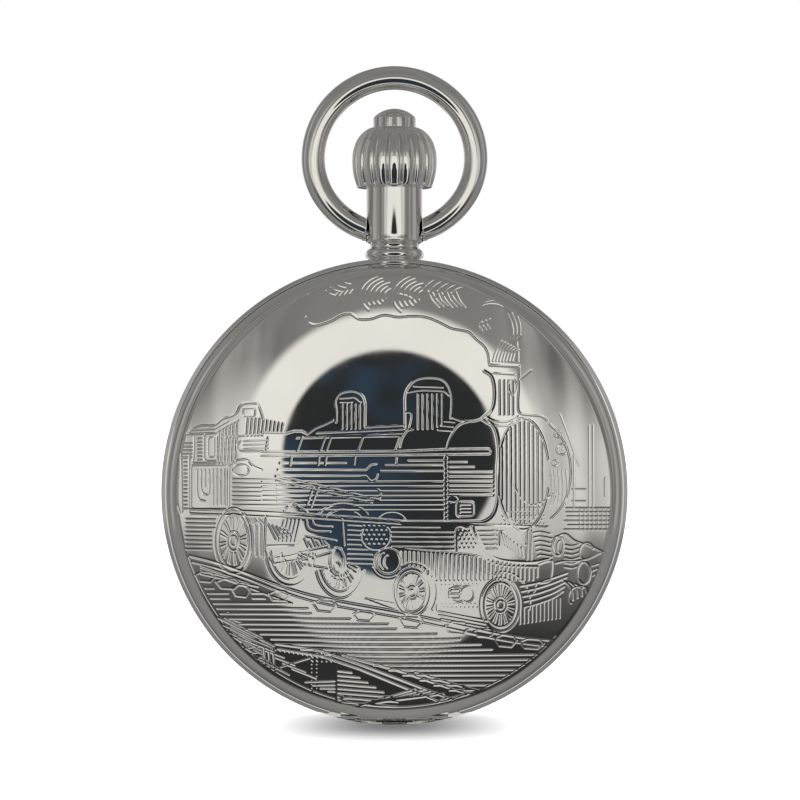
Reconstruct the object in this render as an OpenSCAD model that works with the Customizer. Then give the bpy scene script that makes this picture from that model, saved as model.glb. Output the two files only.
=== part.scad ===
// Hunter pocket watch with a hand-wound movement.
// The watch stands upright: +Z runs through the pendant, the front cover faces -Y,
// and the origin is under the middle of the case at its lowest point.
// Inside the modules a flat watch frame is used: x to the right, y towards the
// pendant, z towards the viewer. stand() turns it upright at the end.

/* [Case] */
// Outside radius of the case middle
case_r = 23.5; // [23.3:0.05:23.7]
// Half height of the case middle, up to each cover's seam
band_h = 2.7; // [2.6:0.05:2.8]
// Height of the front cover's top above the middle plane
dome_top = 7.4; // [7.3:0.05:7.7]
// Radius of curvature of both covers
dome_r = 75; // [72:1:80]
// Wall of the covers
cover_t = 0.55; // [0.45:0.05:0.6]
// Height of the flat on the back cover
back_flat = 7.0; // [6.9:0.05:7.1]

/* [Cover hinges] */
// Distance of the hinge pins from the case centre
hinge_y = 22.2; // [22.15:0.01:22.22]
// Radius of the hinge pins
hinge_pin_r = 0.25; // [0.22:0.01:0.27]
// Outside radius of the hinge knuckles
knuckle_r = 0.6; // [0.55:0.01:0.62]

/* [Pendant, crown and bow] */
// Outside radius of the pendant tube
pendant_r = 2.85; // [2.75:0.05:2.9]
// Middle radius of the bow
bow_r = 8.25; // [8.2:0.05:8.6]
// Radius of the bow's wire
bow_wire_r = 1.2; // [1.0:0.05:1.25]
// Height of the bow's pivots above the case centre
bow_pivot_y = 26.0; // [25.9:0.05:26.2]
// Number of flutes on the crown
crown_flutes = 18; // [16:1:20]
// Radius of the push button
button_r = 2.15; // [2.0:0.05:2.15]
// Travel of the push button
button_travel = 0.8; // [0.6:0.1:0.8]

/* [Movement] */
// Radius of the main plate
plate_r = 18.2; // [18:0.05:18.22]

/* [Hidden] */
$fn = 96;
e = 0.01;
// teeth of the barrel, centre, third and fourth wheels, leaves of the pinions
// they drive, and the tooth module of each of the four meshes
train_teeth = [80, 80, 75, 80];
train_leaves = [10, 10, 10, 8];
train_mod = [0.18, 0.13, 0.11, 0.10];
C  = [0, 0];
B  = [-7.015, 4.05];
T  = [2.705, -5.187];
F  = [0, -9];
Ee = [4.25, -10.14];
P  = [6.436, -8.438];
Bc = [10.6, -5.2];
K  = [0, 9.624];
M  = [1.56, 2.70];
S  = [0.53, 6.19];
feet_barrel = [[-14.6, -4.6], [4.9, 14.2], [-6.6, 14.0]];
feet_train = [[-9.6, -8.0], [-2.5, -15.2], [7.2, -14.0]];
foot_cock = [13.7, 3.8];
foot_pallet = [10.2, -11.7];
setter = [5.6, 10.4];
yoke_at = [-4.6, 9.9];
click_at = [-13.4, 6.6];

// ---------- helpers ----------
module stand() translate([0, 0.2, case_r]) rotate([90, 0, 0]) children();
// a cylinder about z from z0 to z1, at p
module cyl(p, r, z0, z1) translate([p[0], p[1], z0]) cylinder(r = r, h = z1 - z0);
// a cylinder about the watch's y axis (the stem's line)
module ycyl(r, y0, y1) translate([0, y1, 0]) rotate([90, 0, 0]) cylinder(r = r, h = y1 - y0);
// a cylinder about x at (y, z)
module xcyl(r, x0, x1, y, z) translate([x0, y, z]) rotate([0, 90, 0]) cylinder(r = r, h = x1 - x0);
module box(a, b) translate(a) cube([b[0] - a[0], b[1] - a[1], b[2] - a[2]]);
// spur teeth: n teeth of module m, one of them centred on the angle ph
function tooth_pts(n, m, ph, a = 1.0, d = 1.15, w = 0.40) = [for (i = [0:n - 1], k = [0:3])
  let (c = ph + i * 360 / n, p = 360 / n,
       r = (k == 0 || k == 3) ? m * n / 2 - d * m : m * n / 2 + a * m,
       o = (k == 0) ? -0.31 : (k == 1) ? -w / 4 : (k == 2) ? w / 4 : 0.31)
  [r * cos(c + o * p), r * sin(c + o * p)]];
module teeth(n, m, ph, h, a = 1.0, d = 1.15, w = 0.40)
  linear_extrude(h) polygon(tooth_pts(n, m, ph, a, d, w));
// saw teeth of a winding wheel
function saw_pts(n, r, h, ph) = [for (i = [0:n - 1], k = [0:1])
  let (c = ph + (i + (k == 0 ? 0 : 0.12)) * 360 / n, q = k == 0 ? r : r - h) [q * cos(c), q * sin(c)]];
// a spiral strip from radius r0 to r1 in n turns, t thick
function spiral(r0, r1, n, t, s = 20) = concat(
  [for (i = [0:n * s]) let (a = i * 360 / s, r = r0 + (r1 - r0) * i / (n * s)) [r * cos(a), r * sin(a)]],
  [for (i = [n * s:-1:0]) let (a = i * 360 / s, r = r0 + t + (r1 - r0) * i / (n * s)) [r * cos(a), r * sin(a)]]);
// spoke windows for a wheel: n openings between radii a and b, with arms w wide
module windows(n, a, b, w, z0, z1, turn = 0)
  for (i = [0:n - 1]) rotate(turn + i * 360 / n) intersection() {
    difference() { cyl(C, b, z0, z1); cyl(C, a, z0 - 1, z1 + 1); }
    translate([w / 2, w / 2, z0]) linear_extrude(z1 - z0)
      polygon([[0, 0], [30, 0], [30 * cos(360 / n) , 30 * sin(360 / n)] - [w * 0.5, w * 0.5]]);
  }

// ---------- case ----------
// the half section of a cover's outside, above the seam
module cover_outline() {
  sx = 20.87; sr = 2.2;
  cz = dome_top - dome_r;
  sz = cz + sqrt((dome_r - sr) * (dome_r - sr) - sx * sx);
  tx = dome_r * sx / (dome_r - sr);
  tz = cz + dome_r * (sz - cz) / (dome_r - sr);
  intersection() {
    translate([0, band_h]) square([30, 10]);
    union() {
      intersection() {
        translate([0, cz]) circle(dome_r, $fn = 360);
        square([tx, 20]);
      }
      intersection() {
        translate([sx, sz]) circle(sr);
        translate([0, 0]) square([30, tz]);
      }
      square([sx, sz]);
      polygon([[0, 0], [sx, sz], [tx, tz], [0, tz]]);
    }
  }
}
module cover_section() {
  difference() {
    cover_outline();
    // hollow under the dome
    intersection() {
      translate([0, dome_top - dome_r]) circle(dome_r - cover_t, $fn = 360);
      square([21.0, 20]);
    }
  }
}
lid_knuckles = [[-3.45, -1.2], [1.2, 3.45]];
case_knuckles = [[-5.4, -3.5], [-1.15, 1.15], [3.5, 5.4]];
// a cover as the front one sits, with its own knuckles
module cover_shell() difference() {
  union() {
    difference() {
      rotate_extrude() cover_section();
      // the edge is cut straight across the hinge
      box([-12, -26, band_h - 1], [12, -hinge_y - knuckle_r, 6]);
      for (k = case_knuckles) xcyl(knuckle_r + 0.1, k[0] - 0.05, k[1] + 0.05, -hinge_y, band_h);
    }
    for (k = lid_knuckles) xcyl(knuckle_r, k[0], k[1], -hinge_y, band_h);
  }
  xcyl(hinge_pin_r + 0.02, -6, 6, -hinge_y, band_h);
}
module front_cover() color("gainsboro") difference() {
  cover_shell();
  // pocket over the catch, with the lip that the hook holds
  box([3.2, 20.0, band_h - 1], [6.8, 21.45, 2.95]);
  box([3.45, 20.0, 2.94], [6.55, 21.55, 3.32]);
}
module back_cover() color("gainsboro") mirror([0, 0, 1]) union() {
  difference() {
    cover_shell();
    box([-12, -12, back_flat], [12, 12, 9]);
  }
  // inside of the flat, so that the wall keeps its thickness
  cyl(C, 8.2, back_flat - cover_t, back_flat - 0.02);
  // thumb lip beside the pendant
  rotate(24) intersection() {
    rotate_extrude() polygon([[22.3, band_h + 0.03], [23.28, band_h + 0.03], [23.4, band_h + 0.15],
                              [23.3, band_h + 0.3], [22.3, band_h + 0.62]]);
    box([-1.6, 20, band_h], [1.6, 25, band_h + 1]);
  }
}
module case_middle() color("silver") difference() {
  union() {
    difference() {
      rotate_extrude() polygon([[20.5, -band_h], [case_r - 0.4, -band_h], [case_r, 0.4 - band_h],
                                [case_r, band_h - 0.4], [case_r - 0.4, band_h], [20.5, band_h]]);
      for (s = [-1, 1]) {
        // room for the cover's edge as it swings round the pin
        translate([-7.9, -hinge_y, s * band_h]) rotate([90, 0, 90]) linear_extrude(15.8)
          polygon([[0, s * -0.72], [-0.5, s * -0.72], [-0.88, s * -0.67], [-1.19, s * -0.37], [-1.45, s * 0.02],
                   [-1.45, s * 0.3], [0, s * 0.3]]);
        for (k = lid_knuckles) xcyl(knuckle_r + 0.1, k[0] - 0.05, k[1] + 0.05, -hinge_y, s * band_h);
      }
    }
    // fixed knuckles
    for (s = [-1, 1], k = case_knuckles) xcyl(knuckle_r, k[0], k[1], -hinge_y, s * band_h);
  }
  for (s = [-1, 1]) xcyl(hinge_pin_r, -9, 9, -hinge_y, s * band_h);
  // hole for the pendant, and the catch's slot
  ycyl(2.0, 22.2, 25);
  ycyl(1.6, 19, 23);
  box([-0.2, 19, -0.7], [3.3, 22.25, band_h + 1]);
  box([3.2, 19, -0.7], [6.9, 21.85, band_h + 1]);
}
module pendant_tube() color("silver") difference() {
  union() {
    ycyl(2.0, 22.2, 23.6);
    // collar, groove and tube as one turned piece
    rotate([-90, 0, 0]) rotate_extrude() difference() {
      union() {
        translate([0, 23.35]) square([2.35, 8.4]);
        translate([2.32, 24.02]) circle(0.62, $fn = 48);
        translate([0, 25.5]) square([pendant_r, 6.3]);
        polygon([[0, 24.6], [2.45, 24.6], [2.45, 25.0], [pendant_r + 0.06, 25.36], [pendant_r, 25.75], [0, 25.75]]);
      }
      translate([0, 20]) square([10, 3.35]);
    }
  }
  ycyl(1.6, 20, 33);
  // the underside follows the case
  difference() {
    cyl(C, case_r, -3.2, 3.2);
    ycyl(2.0, 20, 30);
  }
  // pivot holes for the bow
  xcyl(0.62, -4, 4, bow_pivot_y, 0);
}
module pendant_bush() color("tan") difference() {
  ycyl(1.6, 29.6, 31.6);
  ycyl(0.63, 29, 32);
}
module movement_ring() color("dimgray") difference() {
  union() {
    difference() { cyl(C, 20.45, -1.9, 2.15); cyl(C, plate_r + 0.05, -3, 3); }
  }
  ycyl(0.8, 17, 22);
  // room for the catch's swing
  box([-0.4, 19.6, 0.4], [7.1, 22, 3]);
}
module bezel() color("silver") difference() {
  rotate_extrude() polygon([[19.3, 2.2], [20.5, 2.2], [20.5, 3.05], [20.2, 3.4], [18.3, 4.3], [17.7, 4.25],
                            [17.5, 3.0], [19.3, 2.95]]);
  // seat for the crystal
  rotate_extrude() polygon([[0, 3.2], [18.05, 3.2], [18.05, 5], [0, 5]]);
}
module crystal() color([0.85, 0.9, 0.95, 0.35]) rotate_extrude() intersection() {
  difference() {
    translate([0, 5.2 - 200]) circle(200, $fn = 720);
    translate([0, 4.4 - 200]) circle(200, $fn = 720);
  }
  translate([0, 3.2]) square([18.0, 4]);
}
module lid_spring() color("steelblue") union() {
  // a bowed strip of spring steel lying inside the case middle
  translate([0, 0, -1.75]) rotate_extrude(angle = 118, start = 150) translate([20.0, -0.6]) square([0.42, 0.45]);
}
module hinge_pin(s) xcyl(hinge_pin_r, -5.35, 5.35, -hinge_y, s * band_h);
module front_hinge_pin() color("silver") hinge_pin(1);
module back_hinge_pin() color("silver") hinge_pin(-1);

// ---------- pendant group ----------
module bow() color("silver") union() {
  cy = bow_pivot_y + sqrt(bow_r * bow_r - 3.0 * 3.0);
  half = asin(3.02 / bow_r);
  difference() {
    translate([0, cy, 0]) rotate([0, 0, 0])
      rotate_extrude(angle = 360 - 2 * half + 8, start = -90 + half - 4) translate([bow_r, 0]) circle(bow_wire_r, $fn = 64);
    box([-3.0, 20, -3], [3.0, 30, 3]);
  }
  for (s = [-1, 1]) xcyl(0.6, min(s * 1.75, s * 3.4), max(s * 1.75, s * 3.4), bow_pivot_y, 0);
}
function crown_r(y) = lookup(y, [[30.75, 3.72], [31.0, 3.86], [31.6, 4.06], [32.4, 4.22], [33.4, 4.32], [34.2, 4.30],
  [34.9, 4.18], [35.5, 3.94], [36.0, 3.6], [36.4, 3.18], [36.7, 2.7], [36.85, 2.3]]);
crown_y = [30.75, 31.0, 31.6, 32.4, 33.4, 34.2, 34.9, 35.5, 36.0, 36.4, 36.7, 36.85];
module crown() color("silver") difference() {
  rotate([-90, 0, 0]) rotate_extrude() polygon(concat([[0, 30.75]], [for (y = crown_y) [crown_r(y), y]], [[0, 36.85]]));
  // flutes
  for (i = [0:crown_flutes - 1]) rotate([0, (i + 0.5) * 360 / crown_flutes, 0])
    translate([5.02, 33.4, 0]) rotate([0, 0, 0]) rotate([90, 0, 0])
      translate([0, 0, -4]) rotate(45) translate([-0.62, -0.62, 0]) cube([1.24, 1.24, 8]);
  ycyl(3.0, 30, 32.4);
  ycyl(button_r + 0.05, 33.8, 37.5);
  ycyl(0.6, 32, 34);
}
module winding_stem() color("slategray") difference() {
  union() {
    ycyl(0.6, 11.7, 33.8);
    ycyl(0.41, 8.0, 9.4);
    // the square that turns the sliding pinion
    box([-0.42, 9.3, -0.42], [0.42, 11.8, 0.42]);
  }
  ycyl(0.28, 21.6, 34);
  box([-1, 21.75, -0.2], [1, 23.0, 0.2]);
}
module push_button() color("silver") union() {
  rotate([-90, 0, 0]) rotate_extrude() intersection() {
    translate([0, 34.95]) square([button_r, 4]);
    translate([0, 38.8 - 6]) circle(6, $fn = 180);
    polygon([[0, 34], [button_r, 34], [button_r, 38.15], [button_r - 0.25, 38.5], [1.2, 39], [0, 39]]);
  }
  ycyl(0.25, 22.5, 35.2);
}
module button_cross_pin() color("slategray") difference() {
  xcyl(0.16, -1.35, 1.35, 22.8, 0);
  ycyl(0.25, 22, 24);
}
module button_spring() color("slategray")
  for (i = [0:2]) translate([0, 33.98 + i * 0.36, 0]) rotate([90, 0, 0]) rotate_extrude() translate([1.3, 0]) circle(0.13, $fn = 24);
module release_collar() color("tan") difference() {
  ycyl(1.5, 22.1, 22.63);
  ycyl(0.7, 21, 23);
}
module lid_catch() color("slategray") difference() {
  union() {
    xcyl(0.45, 3.5, 6.5, 21.3, 0);
    // upright arm and hook
    box([3.6, 21.0, 0.0], [6.4, 21.25, 3.24]);
    box([3.6, 21.1, 3.02], [6.4, 21.41, 3.24]);
    // tail that the collar pushes
    box([0.75, 21.1, 1.0], [3.7, 21.5, 1.5]);
  }
  xcyl(0.22, 3, 7, 21.3, 0);
}
module catch_pin() color("slategray") xcyl(0.2, 3.3, 6.85, 21.3, 0);
module catch_spring() color("steelblue") box([4.0, 20.55, -0.55], [6.0, 20.68, 0.35]);

// ---------- dial and hands ----------
module dial() color("ivory") difference() {
  union() {
    cyl(C, 19.2, 2.6, 2.9);
    for (a = [50, 205]) cyl([16.6 * cos(a), 16.6 * sin(a)], 0.4, 0.9, 2.7);
  }
  cyl(C, 1.1, 2, 3);
  cyl(F, 0.35, 2, 3);
}
module hand(len, tail, w, z0, z1, hub) {
  cyl(C, hub, z0, z1);
  translate([0, 0, z0]) linear_extrude(z1 - z0) {
    polygon([[-w * 0.45, 0], [w * 0.45, 0], [w * 0.32, len * 0.52], [w * 0.9, len * 0.62], [w * 0.28, len * 0.74], [0.05, len],
             [-0.05, len], [-w * 0.28, len * 0.74], [-w * 0.9, len * 0.62], [-w * 0.32, len * 0.52]]);
    if (tail > 0) polygon([[-w * 0.45, 0], [w * 0.45, 0], [w * 0.7, -tail], [-w * 0.7, -tail]]);
  }
}
// hands set at ten past ten
module hour_hand() color("midnightblue") difference() {
  rotate(55) hand(9.6, 0, 1.15, 3.08, 3.2, 1.35);
  cyl(C, 0.95, 2, 4);
}
module minute_hand() color("midnightblue") difference() {
  rotate(-60) hand(15.2, 0, 0.95, 3.36, 3.48, 1.0);
  cyl(C, 0.62, 2, 4);
}
module second_hand() color("midnightblue") translate([F[0], F[1], 0]) difference() {
  rotate(-36) hand(3.7, 1.2, 0.3, 2.96, 3.04, 0.42);
  cyl(C, 0.2, 2, 4);
}
module cannon_pinion() color("slategray") difference() {
  union() {
    translate([0, 0, 1.68]) teeth(12, 0.13, 60, 0.3);
    cyl(C, 0.62, 1.68, 3.55);
  }
  cyl(C, 0.42, 1, 4);
}
module hour_wheel() color("goldenrod") difference() {
  union() {
    translate([0, 0, 2.16]) teeth(40, 0.1248, 60, 0.2);
    cyl(C, 0.95, 2.16, 3.2);
  }
  cyl(C, 0.66, 1, 4);
}
module minute_wheel() color("goldenrod") translate([M[0], M[1], 0]) difference() {
  union() {
    translate([0, 0, 1.7]) teeth(36, 0.13, 240 + 5, 0.2);
    translate([0, 0, 1.7]) teeth(10, 0.1248, 240 + 18, 0.72);
  }
  cyl(C, 0.27, 1, 4);
}
module setting_wheel() color("goldenrod") translate([S[0], S[1], 0]) difference() {
  // its gap faces the minute wheel's nearest tooth
  translate([0, 0, 1.7]) teeth(20, 0.13, 286.4 + setting_phase, 0.2);
  cyl(C, 0.27, 1, 4);
}
setting_phase = let (d = atan2(S[1] - M[1], S[0] - M[0]), t = (d - 245) / 10, f = (t - floor(t)) * 10)
  (d + 180 + 9 + f * 36 / 20) - 286.4;
module setting_lever() color("slategray") difference() {
  union() {
    cyl(setter, 1.0, 1.62, 1.92);
    translate([0, 0, 1.62]) linear_extrude(0.3) polygon([[5.9, 9.6], [2.2, 13.0], [0.9, 14.1], [0.9, 14.6], [2.8, 14.3], [6.4, 10.8]]);
    translate([0, 0, 1.62]) linear_extrude(0.3) polygon([[5.2, 9.6], [6.4, 9.9], [7.6, 7.2], [6.9, 6.9]]);
  }
  cyl(setter, 0.32, 1, 3);
}
module yoke() color("slategray") difference() {
  union() {
    cyl(yoke_at, 0.9, 1.62, 1.92);
    translate([0, 0, 1.62]) linear_extrude(0.3) polygon([[-5.3, 9.4], [-4.2, 9.2], [-1.1, 10.4], [-1.02, 10.78], [-4.4, 10.7]]);
    box([-1.25, 10.45, 0.45], [-1.0, 10.75, 1.92]);
    translate([0, 0, 1.62]) linear_extrude(0.3) polygon([[-5.2, 10.3], [-4.2, 10.6], [-6.6, 13.6], [-7.1, 13.3]]);
  }
  cyl(yoke_at, 0.27, 1, 3);
}

// ---------- plate and bridges ----------
jewel_holes = [T, F, Ee, P, Bc];
module main_plate() color("gold") difference() {
  union() {
    cyl(C, plate_r, 0.4, 1.6);
    box([-3.0, 13.3, -1.1], [3.0, 17.6, 0.6]);
    box([-0.62, 7.9, -0.9], [1.2, 9.06, 0.6]);
    cyl(M, 0.25, 1.0, 2.5);
    cyl(S, 0.25, 1.0, 2.1);
    cyl(setter, 0.3, 1.0, 2.1);
    cyl(yoke_at, 0.25, 1.0, 2.1);
    // ring the movement is held by
    difference() { cyl(C, plate_r, 0.4, 2.15); cyl(C, 17.3, 0, 3); box([-4, 10, 1.6], [4, 20, 3]); }
  }
  ycyl(0.63, 13, 18.5);
  ycyl(0.43, 7.5, 9.6);
  // window for the winding and sliding pinions
  box([-2.7, 11.55, -2], [2.7, 13.0, 2]);
  box([-1.95, 9.07, -2], [1.6, 11.6, 2]);
  cyl(C, 0.82, 0, 2);
  cyl(B, 0.72, 0, 2);
  for (p = jewel_holes) cyl(p, 0.7, 0.35, 0.65);
  for (p = jewel_holes) cyl(p, 0.3, 0.3, 1.7);
  for (p = concat(feet_barrel, feet_train, [foot_cock, foot_pallet])) cyl(p, 0.45, 0.3, 1.4);
  for (a = [50, 205]) cyl([16.6 * cos(a), 16.6 * sin(a)], 0.42, 0.8, 2);
}
module barrel_bridge() color("gold") difference() {
  union() {
    intersection() {
      cyl(C, 17.9, -3.2, -2.2);
      translate([0, 0, -3.3]) linear_extrude(1.2)
        polygon([[-20, -5.6], [-13, -6.6], [-9.2, -3.6], [-2.2, -2.2], [1.4, -1.7], [3.4, 1.2], [6.4, 9], [7.6, 20], [-20, 20]]);
    }
    for (p = feet_barrel) cyl(p, 1.45, -2.25, 0.4);
  }
  // groove for the crown wheel's face teeth, open over the winding pinion
  difference() { cyl(K, 3.0, -4, -2.35); cyl(K, 2.2, -5, -1); }
  box([-2.5, 11.75, -4], [2.5, 12.7, -2]);
  cyl(B, 0.72, -4, -2);
  cyl(C, 0.7, -2.6, -2.1);
  cyl(C, 0.3, -4, -2);
  cyl(K, 0.5, -4, -2);
  cyl(click_at, 0.4, -4, -2);
  for (p = feet_barrel) { cyl(p, 0.45, -4, 1); cyl(p, 0.95, -4, -2.75); }
}
module train_bridge() color("gold") difference() {
  union() {
    intersection() {
      cyl(C, 17.9, -3.2, -2.2);
      translate([0, 0, -3.3]) linear_extrude(1.2)
        polygon([[-13.2, -7.2], [-9.4, -4.4], [-2.2, -2.9], [1.2, -2.5], [4.6, -3.2], [5.6, -8.2], [9.6, -12.9], [10, -20], [-16, -20]]);
      difference() { cyl(C, 19, -4, -1); cyl(Bc, 5.3, -5, 0); }
    }
    for (p = feet_train) cyl(p, 1.2, -2.25, 0.4);
  }
  for (p = [T, F, Ee]) { cyl(p, 0.7, -2.5, -2.1); cyl(p, 0.3, -4, -2); }
  for (p = feet_train) { cyl(p, 0.45, -4, 1); cyl(p, 0.95, -4, -2.75); }
}
module bar(a, b, ra, rb, z0, z1) {
  d = atan2(b[1] - a[1], b[0] - a[0]);
  translate([0, 0, z0]) linear_extrude(z1 - z0) polygon([
    a + ra * [cos(d + 90), sin(d + 90)], b + rb * [cos(d + 90), sin(d + 90)],
    b + rb * [cos(d - 90), sin(d - 90)], a + ra * [cos(d - 90), sin(d - 90)]]);
  cyl(a, ra, z0, z1);
  cyl(b, rb, z0, z1);
}
module pallet_bridge() color("gold") difference() {
  union() {
    bar(foot_pallet, P, 1.2, 0.8, -1.9, -1.6);
    cyl(foot_pallet, 1.2, -1.7, 0.4);
  }
  cyl(P, 0.5, -1.75, -1.5);
  cyl(P, 0.2, -2, -1.5);
  cyl(foot_pallet, 0.45, -3, 1);
}
module balance_cock() color("gold") difference() {
  union() {
    bar(foot_cock, Bc, 2.5, 1.35, -3.6, -3.0);
    cyl(foot_cock, 2.5, -3.1, 0.4);
  }
  cyl(Bc, 0.8, -3.3, -2.9);
  cyl(Bc, 0.3, -4, -3);
  cyl(foot_cock, 0.45, -4, 1);
  cyl(foot_cock, 1.0, -4, -3.2);
}
module slotted(p, r, z0, z1, zt) difference() {
  union() { cyl(p, r, z0, z1); cyl(p, 0.44, z1 - 0.01, zt); }
  translate([p[0], p[1], z0]) rotate(p[0] * 37) translate([-2, -0.12, -1]) cube([4, 0.24, 1.16]);
}
module bridge_screws() color("steelblue") union() {
  for (p = feet_barrel) slotted(p, 0.94, -3.15, -2.75, 1.3);
  for (p = feet_train) slotted(p, 0.94, -3.15, -2.75, 1.3);
  slotted(foot_cock, 0.99, -3.6, -3.2, 1.3);
  slotted(foot_pallet, 0.8, -2.2, -1.9, 1.3);
}
module jewel(p, r, b, z0, z1) difference() { cyl(p, r, z0, z1); cyl(p, b, z0 - 1, z1 + 1); }
module jewels() color("crimson") {
  for (p = jewel_holes) jewel(p, 0.7, 0.14, 0.4, 0.65);
  jewel(C, 0.7, 0.27, -2.45, -2.2);
  for (p = [T, F, Ee]) jewel(p, 0.7, 0.14, -2.45, -2.2);
  jewel(P, 0.5, 0.14, -1.75, -1.6);
  jewel(Bc, 0.8, 0.14, -3.25, -3.0);
}

// ---------- barrel and winding ----------
module mainspring_barrel() color("goldenrod") translate([B[0], B[1], 0]) difference() {
  union() {
    translate([0, 0, -0.95]) teeth(train_teeth[0], train_mod[0], atan2(C[1] - B[1], C[0] - B[0]), 0.6);
    cyl(C, 6.9, -1.9, -0.25);
  }
  cyl(C, 6.6, -2.5, -0.45);
  cyl(C, 0.75, -3, 0);
}
module barrel_cover() color("goldenrod") translate([B[0], B[1], 0]) difference() {
  cyl(C, 6.9, -2.05, -1.9);
  cyl(C, 1.05, -3, 0);
}
module barrel_arbor() color("slategray") translate([B[0], B[1], 0]) union() {
  cyl(C, 0.7, -2.3, 1.5);
  cyl(C, 1.0, -2.1, -0.5);
  cyl(C, 0.7, -3.2, -2.0);
  box([-0.48, -0.48, -3.6], [0.48, 0.48, -3.1]);
}
module mainspring() color("slategray") translate([B[0], B[1], -1.8]) linear_extrude(1.2) polygon(spiral(1.12, 6.3, 11, 0.16, 18));
module ratchet_wheel() color("silver") translate([B[0], B[1], 0]) difference() {
  union() {
    translate([0, 0, -3.6]) teeth(40, 0.28, atan2(K[1] - B[1], K[0] - B[0]), 0.35);
  }
  box([-0.5, -0.5, -5], [0.5, 0.5, 0]);
}
module ratchet_screw() color("steelblue") difference() {
  cyl(B, 1.5, -3.95, -3.6);
  translate([B[0], B[1], -4.2]) rotate(35) translate([-2, -0.15, 0]) cube([4, 0.3, 0.42]);
}
module crown_wheel() color("silver") translate([K[0], K[1], 0]) difference() {
  union() {
    translate([0, 0, -3.6]) teeth(24, 0.28, atan2(B[1] - K[1], B[0] - K[0]) + 7.5, 0.35);
    // face teeth over the winding pinion
    for (i = [0:17]) rotate(90 + 10 + i * 20) translate([2.3, -0.17, -3.3]) cube([0.6, 0.34, 0.88]);
  }
  cyl(C, 0.55, -5, 0);
}
module crown_wheel_screw() color("steelblue") difference() {
  union() { cyl(K, 1.5, -3.95, -3.6); cyl(K, 0.5, -3.61, -2.2); }
  translate([K[0], K[1], -4.2]) rotate(-20) translate([-2, -0.15, 0]) cube([4, 0.3, 0.42]);
}
module click() color("silver") difference() {
  union() {
    cyl(click_at, 0.8, -3.5, -3.25);
    cyl(click_at, 0.38, -3.3, -2.3);
    translate([0, 0, -3.5]) linear_extrude(0.25) polygon([[-14.0, 6.0], [-13.02, 4.3], [-12.95, 5.0], [-12.62, 6.5], [-13.1, 7.1]]);
  }
  translate([click_at[0], click_at[1], -4]) cylinder(r = 0.12, h = 0.6);
}
module click_spring() color("steelblue") difference() {
  union() {
    cyl([-15.2, 2.2], 0.7, -3.42, -3.21);
    translate([0, 0, -3.42]) linear_extrude(0.2) polygon([[-15.7, 2.5], [-14.9, 2.5], [-14.42, 5.55], [-14.5, 5.75], [-14.62, 5.6]]);
  }
  cyl([-15.2, 2.2], 0.25, -5, 0);
}
module winding_pinion() color("slategray") difference() {
  union() {
    translate([0, 12.6, 0]) rotate([90, 0, 0]) teeth(16, 0.27, 0, 0.75, 0.75, 1.0, 0.5);
    // ratchet face towards the sliding pinion
    ycyl(1.25, 11.72, 11.9);
  }
  ycyl(0.62, 11, 13);
}
module sliding_pinion() color("slategray") difference() {
  union() {
    ycyl(1.25, 11.0, 11.68);
    ycyl(0.95, 10.2, 11.0);
    ycyl(1.25, 9.75, 10.2);
  }
  box([-0.44, 9, -0.44], [0.44, 12, 0.44]);
}

// ---------- wheel train ----------
module wheel_arms(n, a, b, w, z0, z1) windows(n, a, b, w, z0 - 0.1, z1 + 0.1);
module center_wheel() color("goldenrod") union() {
  difference() {
    translate([0, 0, -0.05]) teeth(train_teeth[1], train_mod[1], atan2(T[1], T[0]), 0.2);
    windows(5, 1.5, 4.5, 0.7, -0.2, 0.3);
  }
  translate([0, 0, -1.1]) teeth(train_leaves[0], train_mod[0], atan2(B[1], B[0]) + 18, 0.9);
  cyl(C, 0.65, -1.1, 0);
  cyl(C, 0.8, -0.2, 1.55);
  cyl(C, 0.4, 1.5, 3.45);
  cyl(C, 0.5, -2.1, -1.0);
  cyl(C, 0.25, -2.45, -2.0);
}
module third_wheel() color("goldenrod") translate([T[0], T[1], 0]) union() {
  difference() {
    translate([0, 0, -0.95]) teeth(train_teeth[2], train_mod[2], atan2(F[1] - T[1], F[0] - T[0]), 0.15);
    windows(4, 1.1, 3.55, 0.55, -1.1, -0.7);
  }
  translate([0, 0, -0.2]) teeth(train_leaves[1], train_mod[1], atan2(-T[1], -T[0]) + 18, 0.45);
  cyl(C, 0.3, -2.1, 0.3);
  cyl(C, 0.12, -2.45, 0.65);
}
module fourth_wheel() color("goldenrod") translate([F[0], F[1], 0]) union() {
  difference() {
    translate([0, 0, -0.5]) teeth(train_teeth[3], train_mod[3], atan2(Ee[1] - F[1], Ee[0] - F[0]), 0.15);
    windows(4, 1.1, 3.4, 0.55, -0.6, -0.2);
  }
  translate([0, 0, -1.1]) teeth(train_leaves[2], train_mod[2], atan2(T[1] - F[1], T[0] - F[0]) + 18, 0.45);
  cyl(C, 0.28, -2.1, 0.3);
  cyl(C, 0.12, -2.45, 0.65);
  cyl(C, 0.12, 0.6, 1.8);
  cyl(C, 0.2, 1.7, 3.05);
}
module escape_wheel() color("silver") translate([Ee[0], Ee[1], 0]) union() {
  difference() {
    translate([0, 0, -1.45]) linear_extrude(0.2) polygon([for (i = [0:14], k = [0:3])
      let (c = 37.9 + 12 + i * 24, r = k == 0 ? 1.75 : k == 1 ? 2.4 : k == 2 ? 2.34 : 1.8,
           o = k == 0 ? -3 : k == 1 ? 3.4 : k == 2 ? 5.2 : 2.5) [r * cos(c + o), r * sin(c + o)]]);
    windows(4, 0.75, 1.45, 0.35, -1.6, -1.1);
  }
  translate([0, 0, -0.65]) teeth(train_leaves[3], train_mod[3], atan2(F[1] - Ee[1], F[0] - Ee[0]) + 22.5, 0.45);
  cyl(C, 0.22, -2.1, 0.3);
  cyl(C, 0.12, -2.45, 0.65);
}
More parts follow.
